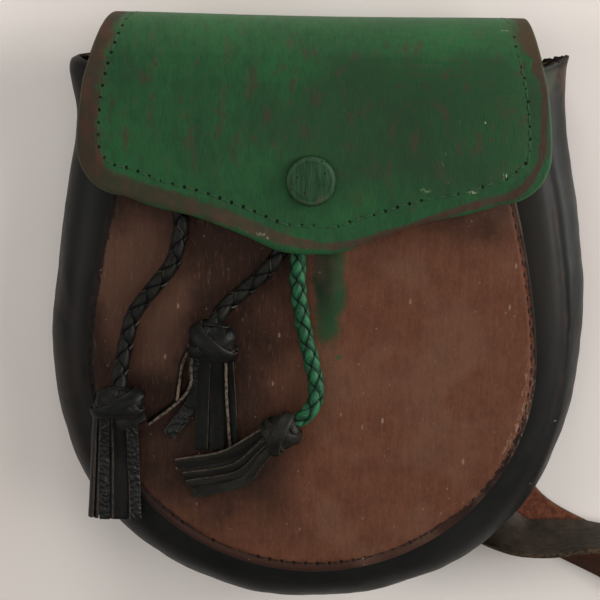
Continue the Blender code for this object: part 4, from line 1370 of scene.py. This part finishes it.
def gusset_section(s):
    """Points of the gusset's outer face at one station, from the front seam round to the back seam.

    With them come marks that are 1 in the crease.
    """
    front = edge_point(FRONT_EDGE, s)
    bulge = edge_point(BULGE_EDGE, s)
    back = edge_point(BACK_EDGE, s)
    front_z = FRONT_Z - GAP
    back_z = back_under(back.x, back.y) + PANEL_THICK + GAP
    power = 2 / BULGE_ROUNDNESS
    section, folds = [], []
    for i in range(FRONT_SEAM_STEPS):
        seam = front + inward(FRONT_EDGE, s) * SEAM_WIDTH * (1 - i / FRONT_SEAM_STEPS)
        section.append((*seam, front_z + front_top(*seam) - FRONT_TOP))
        folds.append(0.0)
    for i in range(SHOULDER_STEPS):
        angle = i / SHOULDER_STEPS * pi / 2
        point = front.lerp(bulge, sin(angle) ** power)
        fold = np.exp(-(((angle - CREASE_ANGLE) / CREASE_SPREAD) ** 2)) * crease_depth(s)
        section.append((*point, GUSSET_MID_Z + (front_z - GUSSET_MID_Z) * cos(angle) ** power - fold))
        folds.append(fold)
    for i in range(HEEL_STEPS + 1):
        angle = i / HEEL_STEPS * pi / 2
        point = back.lerp(bulge, cos(angle) ** power)
        section.append((*point, GUSSET_MID_Z + (back_z - GUSSET_MID_Z) * sin(angle) ** power))
        folds.append(0.0)
    for i in range(1, BACK_SEAM_STEPS + 1):
        seam = back + inward(BACK_EDGE, s) * SEAM_WIDTH * i / BACK_SEAM_STEPS
        section.append((*seam, back_under(*seam) + PANEL_THICK + GAP))
        folds.append(0.0)
    return section, np.array(folds) / CREASE_DEPTH


def gusset_place(s, share, shift, plain):
    """Where a plain point of the wall really is. share is its place from the front to the back seam."""
    x, y, z = plain
    free = sin(pi * clamp((share - 0.1) / 0.8))
    out = Vector((x, y * 0.8 * (1 - smooth_step((y - 72) / 16)), 0)).normalized()
    dent = WIDE_DENT * wobble(x, y, z * 2, 0.045) + FINE_DENT * wobble(x, y, z, 0.17)
    place = Vector(plain) + out * (dent + shift) * free
    place.y += EAR_RISE * smooth_step((s - EAR_FROM) / (1 - EAR_FROM)) * free
    place.y += LIP_TILT * (share - 0.4) * max((abs(s) - EAR_FROM) / (1 - EAR_FROM), 0.0) * free
    roll = clamp((-s - ROLL_FROM) / (1 - ROLL_FROM))
    place -= out * ROLL_IN * (1 - (1 - roll * roll) ** 0.5) * free
    torn = max((s - TORN_FROM) / (1 - TORN_FROM), 0.0)
    place.y += torn * (WIDE_TEAR * wobble(x, z, 5.0, 0.9) + FINE_TEAR * wobble(x, z, 9.0, 2.3))
    return place


def make_gusset(materials):
    """The wall of the pouch, with soft dents and a torn rim at the right end of its mouth."""
    rows, creases = [], []
    shifts = evened(np.interp(STATIONS, *zip(*GUSSET_SHIFTS)), SHIFT_BLUR)
    for s, shift in zip(STATIONS, shifts):
        section, marks = gusset_section(s)
        shares = np.linspace(0, 1, len(section))
        rows.append([gusset_place(s, share, shift, plain) for share, plain in zip(shares, section)])
        creases.append(marks)
    points = np.array(rows)
    stations, sections = crossed(STATIONS, shares)
    lengths, widths = crossed(
        line_lengths(np.array([edge_point(BULGE_EDGE, s) for s in STATIONS])),
        line_lengths(points[len(points) // 2]),
    )
    values = {
        "station": stations,
        "section": sections,
        "crease": creases,
        "flat": flat_grid(widths, lengths),
    }
    thing = grid_object("gusset_wall", points, values, flip=True)
    return thicken(thing, GUSSET_THICK, materials)


# ---------------------------------------------------------------- flap


def flap_half_width(length):
    """Half width of the flap at a length past the start of the fold, towards the tail."""
    if length < 0:
        rise = min(-length / (FOLD_Y - FLAP_CORNER_Y), 1.0)
        return FLAP_HALF_AT_FOLD + (FLAP_HALF_WIDTH - FLAP_HALF_AT_FOLD) * sin(rise * pi / 2)
    share = min(length / FOLD_LENGTH, 1.0)
    return FLAP_HALF_AT_TAIL + (FLAP_HALF_AT_FOLD - FLAP_HALF_AT_TAIL) * (1 - share) ** FLAP_NARROWING


FLAP_CURVE = smooth_rows(FLAP_EDGE, 1.0)


def flap_edge_point(column):
    """A point of the flap's lower edge: column is 0 at the tongue's tip and 1 where the side starts."""
    share = abs(column)
    if share <= CORNER_SHARE:
        x = share / CORNER_SHARE * FLAP_EDGE[-1][0]
        y = float(np.interp(x, FLAP_CURVE[:, 0], FLAP_CURVE[:, 1]))
    else:
        angle = (share - CORNER_SHARE) / (1 - CORNER_SHARE) * pi / 2
        x = FLAP_HALF_WIDTH - FLAP_CORNER_RADIUS * (1 - sin(angle))
        y = FLAP_CORNER_Y - FLAP_CORNER_RADIUS * cos(angle)
    return Vector((copysign(x, column), y))


def flap_surface(across, length):
    """A place on the flap's outer face: across is -1 to 1, length is y as if it were unrolled."""
    drop = FLAP_SIDE_DROP * abs(across) ** 6
    x = across * flap_half_width(length - FOLD_Y)
    if length <= FOLD_Y:
        return Vector((x, length, FLAP_TOP_Z - drop))
    angle = clamp((length - FOLD_Y) / FOLD_RADIUS, 0.0, pi)
    radius = FOLD_RADIUS - drop * cos(angle / 2) ** 6
    past = max(length - FOLD_Y - FOLD_LENGTH, 0.0)
    out = radius - FOLD_SAG * (1 - across**2)
    return Vector((x, FOLD_Y + out * sin(angle) - past, FLAP_MIDDLE_Z + radius * cos(angle)))


def flap_place(flat):
    """The place in space of a place on the unrolled flap."""
    return flap_surface(flat[0] / flap_half_width(flat[1] - FOLD_Y), flat[1])


def flap_up(point):
    """The direction out of the flap's face."""
    return UP if point.y < FOLD_Y else Vector((0, point.y - FOLD_Y, point.z - FLAP_MIDDLE_Z))


def flap_border():
    """The unrolled flap's edge, from the tail's left end down round the tongue to its right end."""
    lengths = np.arange(FLAP_CORNER_Y + 1.0, FLAP_LENGTH, 1.0)
    side = [Vector((flap_half_width(length - FOLD_Y), length)) for length in lengths]
    lower = [flap_edge_point(2 * i / BORDER_STEPS - 1) for i in range(BORDER_STEPS + 1)]
    left = [Vector((-point.x, point.y)) for point in reversed(side)]
    return np.array(left + lower + side)


def inset_line(border):
    """The seam's line inside the border."""
    tangent = np.gradient(border, axis=0)
    tangent /= np.linalg.norm(tangent, axis=1)[:, None]
    normal = np.stack((-tangent[:, 1], tangent[:, 0]), 1)
    inset = np.interp(border[:, 0], FLAP_INSET_X, FLAP_INSET)
    inset[border[:, 1] > FLAP_CORNER_Y] = FLAP_INSET[0]
    for x, y, more in CORNER_INSETS:
        away = np.hypot(border[:, 0] - x, border[:, 1] - y)
        inset += more * np.exp(-((away / CORNER_REACH) ** 2))
    return border + normal * evened(inset, INSET_BLUR)[:, None]


def make_flap(seam_line, border, materials):
    """The flap, with a sewn groove, soft waves on its front and its worn band marked."""
    rows, flat = [], []
    for i in range(FLAP_COLUMNS + 1):
        start = flap_edge_point(2 * i / FLAP_COLUMNS - 1)
        across = start.x / FLAP_HALF_WIDTH
        lengths = np.linspace(start.y, FLAP_LENGTH, FLAP_ROWS + 1)
        rows.append([flap_surface(across, length) for length in lengths])
        flat += [(across * flap_half_width(length - FOLD_Y), length) for length in lengths]
    points, flat = np.array(rows), np.array(flat)
    values = sheet_values(flat, border, seam_line)
    wear_line = smooth_rows(WEAR_LINE, 1.0)
    wear, at = nearest_on_line(flat, wear_line[:, :2])
    values["wear"] = wear / np.interp(at, line_lengths(wear_line[:, :2]), wear_line[:, 2])
    waves = np.array([wobble(x, y, 7.0, 0.03) for x, y in flat])
    sink = sunk(values, groove=0.08, reach=1.4, rounding=0.45) + FLAP_WAVE * (waves + 1)
    points[..., 2] -= np.where(flat[:, 1] < FOLD_Y + 10, sink, 0).reshape(points.shape[:2])
    return thicken(grid_object("flap_cover", points, values), FLAP_THICK, materials)


# ---------------------------------------------------------------- stitches


def stitch_mesh(centre, radius, up):
    """Points and faces of one thread along its middle points, thin and sunk at both ends."""
    vertices, faces = [], []
    sides = range(STITCH_SIDES)
    for j, point in enumerate(centre):
        bow = sin(pi * j / STITCH_STEPS)
        along = direction(centre, j)
        across = along.cross(up(point)).normalized()
        above = across.cross(along)
        thick = radius * max(bow, STITCH_TIP) ** 0.4
        dip = -STITCH_DIP * (1 - bow**0.6)
        for k in sides:
            angle = 2 * pi * k / STITCH_SIDES
            offset = above * (sin(angle) * thick * 0.7 + dip) + across * cos(angle) * thick
            vertices.append((point + offset) * MM)
    for j in range(STITCH_STEPS):
        for k in sides:
            a, b = STITCH_SIDES * j + k, STITCH_SIDES * j + (k + 1) % STITCH_SIDES
            faces.append((a, b, b + STITCH_SIDES, a + STITCH_SIDES))
    faces.append(tuple(reversed(sides)))
    faces.append(tuple(STITCH_SIDES * STITCH_STEPS + k for k in sides))
    return vertices, faces


def make_stitches(name, line, span, radius, place, up, material):
    """Threads between the holes of a seam, from the first to the last of span.

    place turns a flat point into one in space, and up gives the direction out of the leather there.
    """
    lengths = line_lengths(line)
    vertices, faces = [], []
    for i in range(*span):
        start, end = i * STITCH_PITCH + STITCH_END, (i + 1) * STITCH_PITCH - STITCH_END
        if end > lengths[-1]:
            break
        stations = np.linspace(start, end, STITCH_STEPS + 1)
        flat = [[np.interp(at, lengths, column) for column in line.T] for at in stations]
        more, loops = stitch_mesh([place(point) for point in flat], radius, up)
        faces += [tuple(len(vertices) + corner for corner in loop) for loop in loops]
        vertices += more
    mesh = bpy.data.meshes.new(name)
    mesh.from_pydata(vertices, [], faces)
    mesh.shade_smooth()
    mesh.materials.append(material)
    return put(name, mesh)


# ---------------------------------------------------------------- press stud and strap


def make_stud(material):
    """The stud's cap with its rolled rim, and its shank and socket under the flap."""
    profile = [(radius, CAP_TOP - depth) for radius, depth in CAP_OUTLINE]
    profile += [(radius, SOCKET_TOP - depth) for radius, depth in SOCKET_OUTLINE]
    rows = []
    for i in range(STUD_SIDES):
        angle = 2 * pi * i / STUD_SIDES
        rows.append([(r * cos(angle), STUD_Y + r * sin(angle), z) for r, z in profile])
    stud = grid_object("snap_stud_cap", np.array(rows + rows[:1]), {}, flip=True)
    weld(stud)
    stud.data.materials.append(material)
    return stud


def make_strap(materials):
    """The strap's loop, whose roll turns it between lying flat and standing on edge."""
    middles, rolls = [], []
    for x, y, lift, roll in smooth_rows(STRAP_ROUTE, STRAP_STEP):
        roll = radians(clamp(roll, -180.0, 0.0))
        half_height = abs(sin(roll)) * STRAP_WIDTH / 2 + abs(cos(roll)) * STRAP_THICK / 2
        middles.append(Vector((x, y, max(lift, 0.0) + half_height)))
        rolls.append(roll)
    points = ribbon_points(
        middles, rolls, STRAP_ACROSS, STRAP_WIDTH, lambda middle, side: STRAP_THICK / 2
    )
    values = ribbon_values(len(middles), STRAP_ACROSS, STRAP_WIDTH, STRAP_STEP)
    return thicken(grid_object("strap_loop", points, values), STRAP_THICK, materials, bevel=0.3)


# ---------------------------------------------------------------- everything


def dress_thongs():
    """The braids with their tassels."""
    black = lace("thong_black", (12, 12, 11), (22, 22, 19), 0.03, 0.10)
    worn_black = lace("thong_worn", (17, 16, 14), (34, 32, 27), 0.05, 0.12)
    pebbled = lace("thong_pebbled", (10, 10, 10), (20, 20, 19), 0.42, 0.22)
    pale_cut = cut_edge("cut_pale", (40, 35, 30), (92, 79, 68))
    dull_cut = cut_edge("cut_dull", (24, 21, 18), (52, 44, 37))
    flesh = suede("flesh_dark", (24, 22, 20), (46, 40, 35))
    black_strand = strand_leather("braid_black", (12, 12, 10), (24, 23, 19), (5, 5, 5), (92, 86, 74), 0.7)
    green_strand = strand_leather(
        "braid_green", (20, 52, 34), (38, 94, 60), (5, 13, 8), (84, 124, 98), 0.4
    )
    tassels = {}
    for side in HEADS:
        cut = dull_cut if side == "left" else pale_cut
        face = worn_black if side == "right" else black
        tassels[side] = make_tassel(side, (face, flesh, cut), (pebbled, flesh, cut))
    for side, tassel in tassels.items():
        slot, skin = ("braid_green", green_strand) if side == "right" else ("braid_black", black_strand)
        braid, line, length = make_braid(side, (skin, flesh, skin))
        ready(braid, slot, f"braid_{side}")
        ready(tassel, "tassel_leather", f"tassel_{side}")
        tuple(line[0] * MM)
        length * MM
        [tuple(point * MM) for point in line]


def dress_pouch(brown_flesh):
    """The two panels and the wall between them."""
    red_cut = cut_edge("cut_red", (22, 16, 14), (44, 30, 25))
    front_materials = (panel_paint(), brown_flesh, red_cut)
    front = make_panel("front_cover", FRONT_EDGE, front_top, True, front_materials)
    cut_holes(front)
    ready(front, "panel_leather", "front_panel")
    back_skin = leather("back_leather", (52, 34, 28), (88, 60, 48), 1.4, 0.06, (1, 0.2, 1))
    back = make_panel("back_cover", BACK_EDGE, back_under, False, (back_skin, brown_flesh, red_cut))
    ready(back, "panel_leather", "back_panel")

    black_flesh = suede("flesh_black", (20, 18, 17), (44, 38, 34))
    black_cut = cut_edge("cut_black", (14, 13, 12), (46, 38, 33))
    ready(make_gusset((gusset_paint(), black_flesh, black_cut)), "gusset_leather", "gusset")


def sew(flap_seam):
    """The threads of the three seams."""
    green = thread("thread_green", (32, 64, 38), (50, 84, 54))
    dark = thread("thread_dark", (18, 13, 10), (34, 23, 18))
    flap = make_stitches(
        "flap_stitches", flap_seam, FLAP_STITCHES, FLAP_THREAD, flap_place, flap_up, green
    )
    ready(flap, "flap_leather")
    for name, outline, radius, face, up in (
        ("front_stitches", FRONT_EDGE, FRONT_THREAD, front_top, UP),
        ("back_stitches", BACK_EDGE, BACK_THREAD, back_under, -UP),
    ):
        threads = make_stitches(
            name,
            panel_seam(outline),
            PANEL_STITCHES,
            radius,
            lambda flat: Vector((*flat, face(*flat) - THREAD_SINK * up.z)),
            lambda point: up,
            dark,
        )
        ready(threads, "panel_leather")


def main():
    make_camera()
    dress_thongs()
    brown_flesh = suede("flesh_brown", (70, 50, 38), (104, 80, 62))
    dress_pouch(brown_flesh)

    border = flap_border()
    flap_seam = inset_line(border)
    flap_cut = cut_edge("cut_flap", (48, 50, 38), (88, 86, 68))
    flap = make_flap(flap_seam, border, (flap_paint(), brown_flesh, flap_cut))
    ready(flap, "flap_leather", "flap")
    ready(make_stud(stud_paint()), "stud_paint", "snap_stud")
    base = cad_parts["snap_base"]
    base.data.materials.clear()
    base.data.materials.append(brass())
    sew(flap_seam)

    strap_skin = leather("strap_grain", (30, 24, 19), (56, 47, 38), 1.3, 0.05, (1, 0.3, 1))
    strap_cut = cut_edge("cut_strap", (28, 22, 17), (78, 62, 44))
    ready(make_strap((strap_skin, strap_suede(), strap_cut)), "strap_leather", "strap")

    make_floor()
    make_lights()


main()
